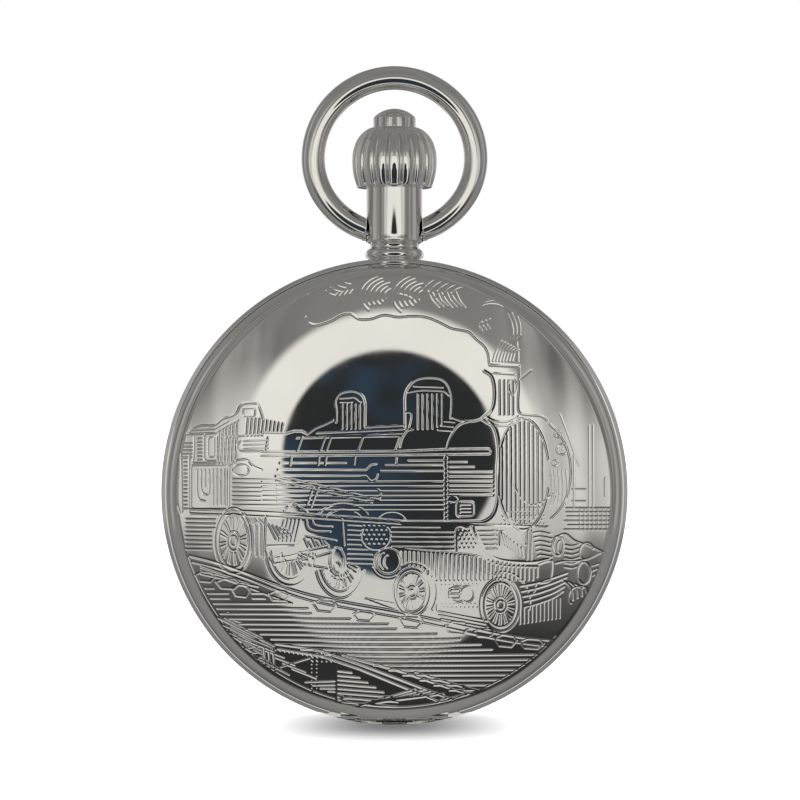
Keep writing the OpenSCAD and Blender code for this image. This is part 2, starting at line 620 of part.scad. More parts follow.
module pallet_fork() color("silver") translate([P[0], P[1], 0]) rotate(37.9) union() {
  // lever towards the balance, ending in a notch just short of the impulse pin
  translate([0, 0, -1.45]) linear_extrude(0.18) {
    polygon([[0, 0.32], [3.6, 0.14], [3.95, 0.34], [4.2, 0.36], [4.2, 0.17], [3.98, 0.12], [3.98, -0.12],
             [4.2, -0.17], [4.2, -0.36], [3.95, -0.34], [3.6, -0.14], [0, -0.32]]);
    for (s = [-1, 1]) scale([1, s]) polygon([[0.3, 0.3], [-0.15, 1.8], [-0.62, 1.78], [-0.5, 1.4], [-0.08, 0]]);
  }
  // stones
  for (s = [-1, 1]) translate([0, 0, -1.47]) linear_extrude(0.22) scale([1, s]) polygon([[-0.3, 1.74], [-0.72, 1.7], [-0.66, 1.5], [-0.28, 1.52]]);
  cyl(C, 0.25, -1.5, 0.3);
  cyl(C, 0.12, -1.75, 0.65);
}
module balance_wheel() color("goldenrod") translate([Bc[0], Bc[1], 0]) union() {
  difference() {
    cyl(C, 4.5, -2.55, -2.1);
    cyl(C, 3.85, -3, -1);
  }
  difference() {
    for (a = [40, 160, 280]) rotate(a) box([0, -0.3, -2.4], [3.95, 0.3, -2.22]);
    cyl(C, 0.45, -3, -1);
  }
  difference() { cyl(C, 0.9, -2.4, -2.22); cyl(C, 0.45, -3, -1); }
  for (i = [0:15]) rotate(i * 22.5 + 11) xcyl(0.17, 4.4, 4.85, 0, -2.32);
}
module balance_staff() color("slategray") translate([Bc[0], Bc[1], 0]) union() {
  cyl(C, 0.45, -2.6, -1.2);
  cyl(C, 0.3, -2.95, 0.3);
  cyl(C, 0.12, -3.25, 0.65);
  // roller with its impulse pin
  cyl(C, 1.0, -1.88, -1.68);
  rotate(217.9) translate([0.82, 0, 0]) cyl(C, 0.13, -1.7, -1.2);
}
module hairspring() color("steelblue") translate([Bc[0], Bc[1], -2.88]) union() {
  linear_extrude(0.16) polygon(spiral(0.52, 2.7, 9, 0.07, 20));
  // stud to the cock
  rotate(0) translate([2.68, -0.05, -0.14]) cube([0.4, 0.5, 0.3]);
}
module regulator() color("slategray") difference() {
  union() {
    cyl(Bc, 0.85, -3.78, -3.62);
    bar(Bc, [8.35, -7.9], 0.35, 0.22, -3.78, -3.62);
    bar(Bc, [12.3, -3.0], 0.35, 0.3, -3.78, -3.62);
  }
  cyl(Bc, 0.42, -4, -3);
}

stand() case_middle();
stand() pendant_tube();
stand() pendant_bush();
stand() movement_ring();
stand() bezel();
stand() crystal();
stand() lid_spring();
stand() front_hinge_pin();
stand() back_hinge_pin();
stand() front_cover();
stand() back_cover();
stand() bow();
stand() crown();
stand() winding_stem();
stand() push_button();
stand() button_cross_pin();
stand() button_spring();
stand() release_collar();
stand() lid_catch();
stand() catch_pin();
stand() catch_spring();
stand() dial();
stand() hour_hand();
stand() minute_hand();
stand() second_hand();
stand() cannon_pinion();
stand() hour_wheel();
stand() minute_wheel();
stand() setting_wheel();
stand() setting_lever();
stand() yoke();
stand() main_plate();
stand() barrel_bridge();
stand() train_bridge();
stand() pallet_bridge();
stand() balance_cock();
stand() bridge_screws();
stand() jewels();
stand() mainspring_barrel();
stand() barrel_cover();
stand() barrel_arbor();
stand() mainspring();
stand() ratchet_wheel();
stand() ratchet_screw();
stand() crown_wheel();
stand() crown_wheel_screw();
stand() click();
stand() click_spring();
stand() center_wheel();
stand() third_wheel();
stand() fourth_wheel();
stand() escape_wheel();
stand() pallet_fork();
stand() balance_wheel();
stand() balance_staff();
stand() hairspring();
stand() regulator();
stand() winding_pinion();
stand() sliding_pinion();
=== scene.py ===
import bpy, bmesh, math
import numpy as np
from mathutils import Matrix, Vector


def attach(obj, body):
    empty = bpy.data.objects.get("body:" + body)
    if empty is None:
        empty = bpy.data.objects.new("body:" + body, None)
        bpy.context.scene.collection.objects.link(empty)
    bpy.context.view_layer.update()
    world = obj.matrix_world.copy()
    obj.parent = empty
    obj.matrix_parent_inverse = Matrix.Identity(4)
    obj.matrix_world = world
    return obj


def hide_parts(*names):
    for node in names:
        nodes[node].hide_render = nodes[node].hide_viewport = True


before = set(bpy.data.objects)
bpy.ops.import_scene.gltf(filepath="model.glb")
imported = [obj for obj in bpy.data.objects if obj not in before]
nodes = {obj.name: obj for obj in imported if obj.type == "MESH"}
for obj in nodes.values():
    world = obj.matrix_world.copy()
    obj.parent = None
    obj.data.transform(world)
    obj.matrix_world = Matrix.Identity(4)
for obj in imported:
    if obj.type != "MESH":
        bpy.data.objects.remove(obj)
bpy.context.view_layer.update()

# ------------------------------------------------------------------ frame
# Flat watch frame in mm: x right, y up to the pendant, z towards the viewer.
ZC, YC = 23.5, 0.2


def to_world(p):
    p = np.asarray(p, float)
    return np.stack([p[..., 0], YC - p[..., 2], ZC + p[..., 1]], -1) / 1000.0


# sizes of the CAD part, in mm
DOME_R, DOME_TOP, BAND, COVER_T = 75.0, 7.4, 2.7, 0.55
SX, SR = 20.87, 2.2
DCZ = DOME_TOP - DOME_R
SZ = DCZ + math.sqrt((DOME_R - SR) ** 2 - SX ** 2)
TX = DOME_R * SX / (DOME_R - SR)
SX_EDGE = SX + math.sqrt(SR ** 2 - (BAND - SZ) ** 2)
HINGE_Y, KN_R = 22.2, 0.6
CASE_KN = [(-5.4, -3.5), (-1.15, 1.15), (3.5, 5.4)]
LID_KN = [(-3.45, -1.2), (1.2, 3.45)]

MATS = {}


# ------------------------------------------------------------------ mesh help
def new_object(name, verts, faces, body, mat, replaces=(), smooth=True, fix_normals=True, merge=True):
    me = bpy.data.meshes.new(name)
    me.from_pydata([tuple(v) for v in verts], [], [tuple(f) for f in faces])
    if fix_normals or merge:
        bm = bmesh.new()
        bm.from_mesh(me)
        if merge:
            bmesh.ops.remove_doubles(bm, verts=bm.verts, dist=1e-7)
        if fix_normals:
            bmesh.ops.recalc_face_normals(bm, faces=bm.faces)
        bm.to_mesh(me)
        bm.free()
    if smooth:
        me.polygons.foreach_set("use_smooth", [True] * len(me.polygons))
    me.update()
    o = bpy.data.objects.new(name, me)
    bpy.context.scene.collection.objects.link(o)
    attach(o, body)
    if replaces:
        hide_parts(*replaces)
    o.data.materials.append(MATS[mat])
    return o


def grid_faces(nr, nc, wrap=True):
    """Quads of an nr by nc grid of points, the columns closed up if wrap is set."""
    i = np.arange(nr - 1)[:, None]
    j = np.arange(nc if wrap else nc - 1)[None, :]
    j2 = (j + 1) % nc
    return np.stack([i * nc + j, i * nc + j2, (i + 1) * nc + j2, (i + 1) * nc + j], -1).reshape(-1, 4)


def fillet(pts, default=0.0, closed=True, seg=6):
    """Rounds the corners of a profile. pts are (r, h) or (r, h, radius). Adds support points beside each corner."""
    out = []
    n = len(pts)
    for i, p in enumerate(pts):
        q = np.array(p[:2], float)
        rad = p[2] if len(p) > 2 else default
        if not closed and i in (0, n - 1):
            out.append(q)
            continue
        a = np.array(pts[(i - 1) % n][:2], float) - q
        b = np.array(pts[(i + 1) % n][:2], float) - q
        la, lb = np.linalg.norm(a), np.linalg.norm(b)
        if la < 1e-9 or lb < 1e-9:
            continue
        a, b = a / la, b / lb
        cosang = float(np.clip(a @ b, -1, 1))
        ang = math.acos(cosang)
        if rad <= 0 or ang > math.radians(176):
            out.append(q)
            continue
        t = min(rad / math.tan(ang / 2), 0.45 * la, 0.45 * lb)
        rad = t * math.tan(ang / 2)
        c = q + (a + b) / np.linalg.norm(a + b) * (rad / math.sin(ang / 2))
        s, e_ = q + a * t, q + b * t
        a0 = math.atan2(*(s - c)[::-1])
        a1 = math.atan2(*(e_ - c)[::-1])
        d = (a1 - a0 + math.pi) % (2 * math.pi) - math.pi
        sup = min(0.25 * rad, 0.04 * min(la, lb))
        out.append(s + a * sup)
        for k in range(seg + 1):
            w = a0 + d * k / seg
            out.append(c + rad * np.array([math.cos(w), math.sin(w)]))
        out.append(e_ + b * sup)
    return out


def arc_pts(cx, cy, r, a0, a1, n=12):
    return [(cx + r * math.cos(math.radians(a0 + (a1 - a0) * k / n)), cy + r * math.sin(math.radians(a0 + (a1 - a0) * k / n))) for k in range(n + 1)]


def lathe(name, profile, body, mat, seg=256, axis="z", at=(0, 0), replaces=(), closed=True, mod=None):
    """Turns a closed profile of (radius, height) about a line through at, along the watch's z, y or x axis."""
    prof = np.array([p[:2] for p in profile], float)
    ang = np.arange(seg) * 2 * math.pi / seg
    r = np.repeat(prof[:, :1], seg, 1)
    h = np.repeat(prof[:, 1:], seg, 1)
    if mod is not None:
        r, h = mod(r, h, ang[None, :])
    c, s = np.cos(ang)[None, :], np.sin(ang)[None, :]
    if axis == "z":
        v = np.stack([at[0] + r * c, at[1] + r * s, h], -1)
    elif axis == "y":
        v = np.stack([at[0] + r * c, h, at[1] + r * s], -1)
    else:
        v = np.stack([h, at[0] + r * c, at[1] + r * s], -1)
    faces = grid_faces(len(prof), seg)
    if closed:
        k = len(prof)
        j = np.arange(seg)
        j2 = (j + 1) % seg
        last = np.stack([(k - 1) * seg + j, (k - 1) * seg + j2, j2, j], -1)
        faces = np.concatenate([faces, last])
    return new_object(name, to_world(v).reshape(-1, 3), faces, body, mat, replaces)


def node_mat(name):
    m = bpy.data.materials.new(name)
    m.use_nodes = True
    nt = m.node_tree
    for n in list(nt.nodes):
        nt.nodes.remove(n)
    out = nt.nodes.new("ShaderNodeOutputMaterial")
    b = nt.nodes.new("ShaderNodeBsdfPrincipled")
    nt.links.new(b.outputs[0], out.inputs[0])
    MATS[name] = m
    return m, nt, b


def coords(nt, scale=1.0):
    tc = nt.nodes.new("ShaderNodeTexCoord")
    mp = nt.nodes.new("ShaderNodeMapping")
    mp.inputs["Scale"].default_value = (scale, scale, scale)
    nt.links.new(tc.outputs["Object"], mp.inputs[0])
    return mp.outputs[0]


def ramp(nt, fac, stops):
    r = nt.nodes.new("ShaderNodeValToRGB")
    els = r.color_ramp.elements
    while len(els) > 1:
        els.remove(els[-1])
    els[0].position, els[0].color = stops[0][0], (*stops[0][1], 1)
    for p, c in stops[1:]:
        e_ = els.new(p)
        e_.color = (*c, 1)
    nt.links.new(fac, r.inputs[0])
    return r.outputs[0]


def metal(name, color, rough, spread=0.04, rough_spread=0.05, scratch=0.002, scale=900.0, tint=0.04):
    """Metal with fine haze, slight tone drift and hairline scratches."""
    m, nt, b = node_mat(name)
    b.inputs["Metallic"].default_value = 1.0
    v = coords(nt)
    n1 = nt.nodes.new("ShaderNodeTexNoise")
    n1.inputs["Scale"].default_value = 160.0
    n1.inputs["Detail"].default_value = 4.0
    nt.links.new(v, n1.inputs["Vector"])
    lo = [max(0, c * (1 - tint)) for c in color]
    hi = [min(1, c * (1 + tint * 0.5)) for c in color]
    nt.links.new(ramp(nt, n1.outputs["Fac"], [(0.3, lo), (0.7, hi)]), b.inputs["Base Color"])
    n2 = nt.nodes.new("ShaderNodeTexNoise")
    n2.inputs["Scale"].default_value = 420.0
    n2.inputs["Detail"].default_value = 6.0
    nt.links.new(v, n2.inputs["Vector"])
    mr = nt.nodes.new("ShaderNodeMapRange")
    mr.inputs["From Min"].default_value, mr.inputs["From Max"].default_value = 0.35, 0.7
    mr.inputs["To Min"].default_value, mr.inputs["To Max"].default_value = rough, rough + rough_spread
    nt.links.new(n2.outputs["Fac"], mr.inputs["Value"])
    nt.links.new(mr.outputs[0], b.inputs["Roughness"])
    if scratch > 0:
        mp = nt.nodes.new("ShaderNodeMapping")
        mp.inputs["Scale"].default_value = (scale * 0.06, scale, scale)
        mp.inputs["Rotation"].default_value = (0.3, 0.5, 0.4)
        nt.links.new(v, mp.inputs[0])
        n3 = nt.nodes.new("ShaderNodeTexNoise")
        n3.inputs["Scale"].default_value = 3.0
        n3.inputs["Detail"].default_value = 2.0
        nt.links.new(mp.outputs[0], n3.inputs["Vector"])
        bp = nt.nodes.new("ShaderNodeBump")
        bp.inputs["Strength"].default_value = scratch * 20
        bp.inputs["Distance"].default_value = 0.00001
        nt.links.new(n3.outputs["Fac"], bp.inputs["Height"])
        nt.links.new(bp.outputs[0], b.inputs["Normal"])
    return m


def striped(name, color, rough):
    """Gilt plate with broad polishing waves across it."""
    m, nt, b = node_mat(name)
    b.inputs["Metallic"].default_value = 1.0
    v = coords(nt)
    w = nt.nodes.new("ShaderNodeTexWave")
    w.wave_type = "BANDS"
    w.bands_direction = "DIAGONAL"
    w.wave_profile = "SAW"
    w.inputs["Scale"].default_value = 210.0
    w.inputs["Distortion"].default_value = 0.15
    nt.links.new(v, w.inputs["Vector"])
    n1 = nt.nodes.new("ShaderNodeTexNoise")
    n1.inputs["Scale"].default_value = 900.0
    nt.links.new(v, n1.inputs["Vector"])
    mx = nt.nodes.new("ShaderNodeMix")
    mx.inputs[0].default_value = 0.25
    nt.links.new(w.outputs["Fac"], mx.inputs[2])
    nt.links.new(n1.outputs["Fac"], mx.inputs[3])
    lo = [c * 0.86 for c in color]
    nt.links.new(ramp(nt, mx.outputs[0], [(0.2, lo), (0.8, color)]), b.inputs["Base Color"])
    mr = nt.nodes.new("ShaderNodeMapRange")
    mr.inputs["To Min"].default_value, mr.inputs["To Max"].default_value = rough, rough + 0.15
    nt.links.new(mx.outputs[0], mr.inputs["Value"])
    nt.links.new(mr.outputs[0], b.inputs["Roughness"])
    bp = nt.nodes.new("ShaderNodeBump")
    bp.inputs["Strength"].default_value = 0.25
    bp.inputs["Distance"].default_value = 0.00005
    nt.links.new(mx.outputs[0], bp.inputs["Height"])
    nt.links.new(bp.outputs[0], b.inputs["Normal"])
    return m


def coated(name, color, rough, noise=60.0, dark=0.93):
    m, nt, b = node_mat(name)
    v = coords(nt)
    n1 = nt.nodes.new("ShaderNodeTexNoise")
    n1.inputs["Scale"].default_value = noise
    n1.inputs["Detail"].default_value = 5.0
    nt.links.new(v, n1.inputs["Vector"])
    nt.links.new(ramp(nt, n1.outputs["Fac"], [(0.3, [c * dark for c in color]), (0.7, color)]), b.inputs["Base Color"])
    mr = nt.nodes.new("ShaderNodeMapRange")
    mr.inputs["To Min"].default_value, mr.inputs["To Max"].default_value = rough, rough + 0.08
    nt.links.new(n1.outputs["Fac"], mr.inputs["Value"])
    nt.links.new(mr.outputs[0], b.inputs["Roughness"])
    b.inputs["Coat Weight"].default_value = 0.3
    return m


metal("polished_nickel", (0.86, 0.85, 0.83), 0.035, rough_spread=0.03, scratch=0.0012)
metal("inside_nickel", (0.80, 0.79, 0.77), 0.10, rough_spread=0.08, scratch=0.003)
metal("steel", (0.60, 0.60, 0.61), 0.16, rough_spread=0.12, scratch=0.004)
metal("blued_steel", (0.030, 0.055, 0.20), 0.14, rough_spread=0.1, scratch=0.002, tint=0.25)
metal("gilt_wheel", (0.83, 0.64, 0.30), 0.18, rough_spread=0.12, scratch=0.004)
striped("gilt_plate", (0.84, 0.68, 0.38), 0.3)
metal("ring_metal", (0.42, 0.41, 0.39), 0.3, rough_spread=0.15, scratch=0.006)
metal("bronze_bush", (0.62, 0.43, 0.24), 0.25, rough_spread=0.12, scratch=0.004)
coated("dial_enamel", (0.90, 0.885, 0.84), 0.12)
coated("dial_ink", (0.012, 0.012, 0.015), 0.3)
m, nt, b = node_mat("ruby")
v = coords(nt)
n1 = nt.nodes.new("ShaderNodeTexNoise")
n1.inputs["Scale"].default_value = 700.0
nt.links.new(v, n1.inputs["Vector"])
nt.links.new(ramp(nt, n1.outputs["Fac"], [(0.3, (0.45, 0.01, 0.06)), (0.7, (0.78, 0.04, 0.14))]), b.inputs["Base Color"])
b.inputs["Roughness"].default_value = 0.06
b.inputs["Coat Weight"].default_value = 1.0
m, nt, b = node_mat("crystal_glass")
v = coords(nt)
n1 = nt.nodes.new("ShaderNodeTexNoise")
n1.inputs["Scale"].default_value = 300.0
nt.links.new(v, n1.inputs["Vector"])
mr = nt.nodes.new("ShaderNodeMapRange")
mr.inputs["To Min"].default_value, mr.inputs["To Max"].default_value = 0.0, 0.02
nt.links.new(n1.outputs["Fac"], mr.inputs["Value"])
nt.links.new(mr.outputs[0], b.inputs["Roughness"])
b.inputs["Base Color"].default_value = (0.96, 0.98, 1.0, 1)
b.inputs["Transmission Weight"].default_value = 1.0
b.inputs["IOR"].default_value = 1.46

# ------------------------------------------------------------------ engraving
# The scene is drawn as strokes on an 800 by 800 drawing board, then cut into the cover.
RES = 0.025
EXT = 22.6
NPX = int(round(2 * EXT / RES)) + 1
CUT = np.zeros((NPX, NPX), np.float32)
RISE = np.zeros((NPX, NPX), np.float32)
CAM_D, CAM_X, CAM_Y = 300.0, 0.56, 9.24
FOC = 9.85 * CAM_D


def board(p):
    """Drawing board position to the cover's x, y in mm."""
    p = np.asarray(p, float).reshape(-1, 2)
    z = np.full(len(p), 6.5)
    for _ in range(3):
        x = CAM_X + (p[:, 0] - 400) * (CAM_D - z) / FOC
        y = CAM_Y - (p[:, 1] - 400) * (CAM_D - z) / FOC
        r2 = np.minimum(x * x + y * y, 21.5 ** 2)
        z = DCZ + np.sqrt(DOME_R ** 2 - r2)
    return np.stack([x, y], -1)


def seg_cut(field, a, b, hw, depth):
    lo = np.minimum(a, b) - hw
    hi = np.maximum(a, b) + hw
    i0 = np.clip(np.floor((lo + EXT) / RES).astype(int), 0, NPX - 1)
    i1 = np.clip(np.ceil((hi + EXT) / RES).astype(int) + 1, 0, NPX)
    if (i1 <= i0).any():
        return
    xs = np.arange(i0[0], i1[0]) * RES - EXT
    ys = np.arange(i0[1], i1[1]) * RES - EXT
    dx, dy = b - a
    L2 = dx * dx + dy * dy
    px = xs[None, :] - a[0]
    py = ys[:, None] - a[1]
    if L2 < 1e-12:
        d = np.hypot(px, py)
    else:
        t = np.clip((px * dx + py * dy) / L2, 0, 1)
        d = np.hypot(px - t * dx, py - t * dy)
    val = np.where(d < hw, depth * 0.5 * (1 + np.cos(np.pi * np.minimum(d / hw, 1))), 0).astype(np.float32)
    view = field[i0[1]:i1[1], i0[0]:i1[0]]
    np.maximum(view, val, out=view)


def stroke(pts, w=2.2, depth=0.075, rise=False):
    """A cut (or raised) line through board points; w is its full width on the board."""
    q = board(pts)
    hw = w / 9.85 * 0.58
    f = RISE if rise else CUT
    if len(q) == 1:
        seg_cut(f, q[0], q[0], hw, depth)
    for a, b_ in zip(q[:-1], q[1:]):
        seg_cut(f, a, b_, hw, depth)


def smooth(pts, n=8):
    """Catmull-Rom curve through the points."""
    p = np.asarray(pts, float)
    p = np.concatenate([[2 * p[0] - p[1]], p, [2 * p[-1] - p[-2]]])
    out = []
    for i in range(1, len(p) - 2):
        for k in range(n):
            t = k / n
            out.append(0.5 * (2 * p[i] + (p[i + 1] - p[i - 1]) * t + (2 * p[i - 1] - 5 * p[i] + 4 * p[i + 1] - p[i + 2]) * t * t
                              + (3 * p[i] - p[i - 1] - 3 * p[i + 1] + p[i + 2]) * t ** 3))
    out.append(p[-2])
    return np.array(out)


def ell(cx, cy, rx, ry, a0=0, a1=360, n=None):
    n = n or max(8, int(abs(a1 - a0) / 9))
    a = np.radians(np.linspace(a0, a1, n + 1))
    return np.stack([cx + rx * np.cos(a), cy - ry * np.sin(a)], -1)


def hlines(x0, x1, y0, y1, step, w=2.0, d=0.07, jitter=0.0, slope=0.0, inside=None):
    """Level hatching; inside(x, y) keeps only some of it."""
    y = y0
    k = 0
    while y <= y1:
        a = x0(y) if callable(x0) else x0
        c = x1(y) if callable(x1) else x1
        a += jitter * math.sin(k * 2.7)
        c += jitter * math.cos(k * 1.9)
        if c > a + 2:
            if inside is None:
                stroke([(a, y), (c, y + slope * (c - a))], w, d)
            else:
                xs = np.arange(a, c + 0.01, 2.0)
                ok = [inside(x, y) for x in xs]
                s = None
                for x, g in zip(list(xs) + [c + 1], ok + [False]):
                    if g and s is None:
                        s = x
                    if not g and s is not None:
                        if x - s > 3:
                            stroke([(s, y), (x - 2, y)], w, d)
                        s = None
        y += step
        k += 1


def vlines(x0, x1, step, ya, yb, w=2.0, d=0.07, lean=0.0):
    x = x0
    while x <= x1:
        a = ya(x) if callable(ya) else ya
        c = yb(x) if callable(yb) else yb
        if c > a + 1:
            stroke([(x, a), (x + lean, c)], w, d)
        x += step


def dots(x0, x1, y0, y1, sx, sy, w=2.0, d=0.07, inside=None):
    j = 0
    y = y0
    while y <= y1:
        x = x0 + (sx / 2 if j % 2 else 0)
        while x <= x1:
            if inside is None or inside(x, y):
                stroke([(x, y)], w, d)
            x += sx
        y += sy
        j += 1


def rrect(x0, y0, x1, y1, r=3.0):
    pts = []
    for cx, cy, a0 in ((x1 - r, y0 + r, 0), (x0 + r, y0 + r, 90), (x0 + r, y1 - r, 180), (x1 - r, y1 - r, 270)):
        pts += list(ell(cx, cy, r, r, a0, a0 + 90, 4))
    return np.array(pts + [pts[0]])


def wheel(cx, cy, rx, ry, spokes, a0=0, a1=360, hub=True, turn=10):
    """A spoked wheel seen three-quarter on, between two angles."""
    stroke(ell(cx, cy, rx, ry, a0, a1), 2.2, 0.075)
    stroke(ell(cx, cy, rx * 0.90, ry * 0.92, a0, a1), 3.0, 0.05, rise=True)
    stroke(ell(cx, cy, rx * 0.78, ry * 0.82, a0, a1), 2.0, 0.07)
    for i in range(spokes):
        a = turn + i * 360.0 / spokes
        m_ = a % 360
        if not (a0 <= m_ <= a1 or a0 <= m_ - 360 <= a1):
            continue
        p = ell(cx, cy, rx, ry, a - 5, a + 5, 8)
        for o in (p[0], p[-1]):
            stroke([(cx + (o[0] - cx) * 0.36, cy + (o[1] - cy) * 0.36), (cx + (o[0] - cx) * 0.70, cy + (o[1] - cy) * 0.72)], 1.7, 0.06)
    if hub:
        stroke(ell(cx, cy, rx * 0.33, ry * 0.30), 2.0, 0.075)
        stroke(ell(cx, cy, rx * 0.17, ry * 0.15), 2.0, 0.06)


def draw_scene():
    # smoke: nested curls along the top
    for i in range(4):
        stroke(smooth([(326 + i * 4.5, 291 - i * 3.5), (330 + i * 5, 294 - i * 3.6), (336 + i * 5, 296 - i * 3.8)]), 1.8, 0.05)
        stroke(smooth([(337 + i * 5, 302 - i * 1.0), (335 + i * 5, 297 - i * 0.8), (338 + i * 5, 293 - i)]), 1.8, 0.05)
    for cx, cy, r0, r1, h1, a0, a1, n in ((394, 296, 9, 33, 22, 112, 216, 6), (427, 297, 9, 34, 23, 112, 216, 6), (466, 300, 16, 46, 27, 104, 172, 5)):
        for i in range(n):
            k = i / (n - 1.0)
            stroke(ell(cx, cy, r0 + (r1 - r0) * k, r0 * 0.8 + (h1 - r0 * 0.8) * k, a0 + 9 * math.sin(i * 2.3), a1 - 6 * math.cos(i * 1.7)), 1.9, 0.055)
    for i in range(7):
        stroke(smooth([(428 + i * 4.6, 291 + (i % 2) * 2), (432 + i * 4.6, 300), (439 + i * 4.4, 308 - (i % 3))]), 1.8, 0.055)
    for i in range(5):
        stroke(ell(396 + i * 2, 306 - i * 1.5, 20 - 3 * i, 12 - 2 * i, 20, 85), 1.7, 0.045)
    for i in range(3):
        stroke(ell(492 + i * 2, 310 - i * 3, 12 - i, 6, 25, 140), 1.7, 0.05)
        stroke(smooth([(482 + i * 4, 322 - i * 1.5), (479 + i * 4, 326 - i), (482 + i * 4, 331 - i)]), 1.7, 0.05)
    stroke(smooth([(275, 309), (288, 302), (300, 297), (309, 294)]), 1.6, 0.05)
    # the cloud's edge down to the chimney
    stroke(smooth([(306, 317), (309, 323), (318, 325), (331, 321), (342, 315), (351, 314), (359, 319), (371, 319), (384, 315),
                   (398, 317), (412, 316), (426, 317), (439, 322), (451, 328), (461, 330), (469, 332), (476, 339), (484, 346),
                   (488, 354), (489, 363)]), 2.0, 0.055)
    # plume
    for i in range(3):
        stroke(smooth([(508 + i * 4, 314 - i), (512 + i * 4, 324), (513 + i * 3.5, 334), (510 + i * 3, 340)]), 1.8, 0.055)
    for i in range(7):
        stroke(smooth([(493 + i * 3.2, 361), (496 + i * 3.2, 352), (502 + i * 2.9, 341 + i * 1.5)]), 1.8, 0.055)
    stroke(smooth([(521, 335), (517, 342), (518, 352), (518, 362)]), 2.2, 0.06)
    # chimney
    stroke([(490, 365), (519, 366)], 3.0, 0.08)
    stroke([(493, 373), (514, 374)], 2.0, 0.07)
    stroke(smooth([(484, 371), (491, 376), (494, 386), (494, 400), (491, 410), (482, 419)]), 3.4, 0.09)
    stroke(smooth([(519, 366), (519, 385), (518, 404), (520, 413), (530, 415), (541, 416), (547, 420)]), 2.2, 0.07)
    for i, x in enumerate((499.5, 504, 508.5, 513)):
        stroke([(x, 380), (x, 415)], 1.9, 0.07)
    stroke(ell(513, 387, 4, 8), 1.6, 0.05)
    stroke(ell(502, 414, 16, 8, 195, 345), 2.0, 0.07)
    stroke(ell(502, 415, 21, 11, 195, 345), 2.0, 0.07)
    stroke(smooth([(520, 379), (526, 374), (531, 370)]), 2.0, 0.06)
    # smokebox front
    stroke(ell(523, 474, 26, 56, 15, 345), 2.4, 0.08)
    x = 501.5
    while x < 546:
        t = math.sqrt(max(0, 1 - ((x - 523) / 25.0) ** 2))
        if t > 0.2:
            stroke([(x, 474 - 53 * t), (x, 474 + 50 * t)], 2.0, 0.07)
        x += 4.5
    stroke(ell(531, 472, 40, 54, -60, 62), 2.4, 0.08)
    for cx, cy, r in ((558, 434, 3.4), (562, 449, 5.4), (555, 463, 2.6)):
        stroke(ell(cx, cy, r, r), 1.9, 0.065)
        stroke([(cx, cy)], 2.4, 0.05)
    for x in (550, 554, 558, 562, 566):
        stroke(smooth([(x, 470), (x + 1.5, 488), (x, 505)]), 1.7, 0.055)
    stroke(smooth([(514, 485), (520, 497), (530, 505), (541, 503), (549, 497), (553, 494), (556, 503)]), 2.0, 0.06)
    dots(502, 545, 508, 526, 4.2, 4.0, 2.0, 0.06)
    # signal posts and far scenery at the right
    for x in (574, 589, 593):
        stroke([(x, 425 if x > 580 else 455), (x, 509)], 1.8, 0.055)
    stroke(smooth([(560, 414), (568, 435), (575, 455), (579, 466)]), 1.5, 0.035)
    stroke([(572, 489), (586, 489)], 1.6, 0.05)
    stroke([(572, 501), (586, 501)], 1.6, 0.05)
    stroke([(566, 508), (610, 508)], 1.9, 0.06)
    stroke([(605, 478), (605, 496)], 2.2, 0.05)
    hlines(566, 611, 512, 532, 4.4, 1.8, 0.055, 2.0)
    vlines(580, 611, 4.5, 510, 530, 1.6, 0.045)
    # domes on the boiler
    stroke(smooth([(336, 422), (336, 410), (335, 401), (339, 394), (347, 391), (355, 391), (362, 395), (365, 403), (365, 415), (365, 427)]), 2.8, 0.085)
    vlines(342, 362, 4.4, lambda x: 404, lambda x: 429, 2.1, 0.075)
    stroke([(340, 398), (355, 397), (361, 402)], 2.0, 0.07)
    stroke([(340, 402), (352, 402)], 1.6, 0.06)
    stroke(smooth([(405, 428), (405, 412), (405, 396), (409, 386), (417, 379), (430, 377), (442, 379), (449, 386), (452, 397), (452, 408), (451, 418)]), 2.8, 0.085)
    stroke(smooth([(408, 392), (420, 390), (432, 390), (444, 391), (449, 395)]), 2.0, 0.07)
    stroke([(414, 386), (443, 387)], 1.8, 0.06)
    vlines(418, 447, 4.9, 394, lambda x: 429 - max(0, x - 432) * 0.45, 2.1, 0.075)
    stroke(smooth([(405, 412), (411, 413), (411, 420), (409, 428)]), 1.9, 0.07)
    for i in range(3):
        stroke([(444 - i * 3, 421 + i * 4.4), (455 - i * 1.5, 422 + i * 4.4)], 1.8, 0.065)
    # boiler outline
    stroke([(262, 432), (286, 433), (293, 431), (301, 431), (307, 434), (315, 428), (325, 424), (333, 420)], 2.6, 0.085)
    stroke([(365, 427), (385, 426), (405, 425)], 2.4, 0.08)
    stroke([(316, 433), (404, 429)], 2.0, 0.07)
    stroke([(318, 437), (402, 433)], 2.0, 0.07)
    stroke(smooth([(452, 417), (460, 420), (470, 421), (478, 420), (485, 417)]), 2.4, 0.08)
    stroke(smooth([(447, 449), (449, 441), (454, 431), (461, 424), (470, 421)]), 2.5, 0.08)
    stroke(smooth([(400, 447), (402, 439), (407, 431), (413, 429)]), 2.4, 0.075)
    for x in (300, 323, 329, 361, 398):
        stroke([(x - 3, 451), (x + 2, 437)], 2.1, 0.075)
    stroke([(296, 438), (398, 436)], 1.9, 0.07)
    # handrail, a double line with a rounded end
    stroke([(262, 452), (400, 451), (447, 449), (488, 448.5)], 2.2, 0.08)
    stroke([(262, 456), (400, 455), (447, 454.5), (488, 454)], 2.2, 0.08)
    stroke(ell(488, 451.3, 4, 2.8, -90, 90, 8), 2.2, 0.08)
    for x in (291, 319, 326, 355, 397):
        stroke([(x, 457), (x - 1, 465)], 2.0, 0.07)
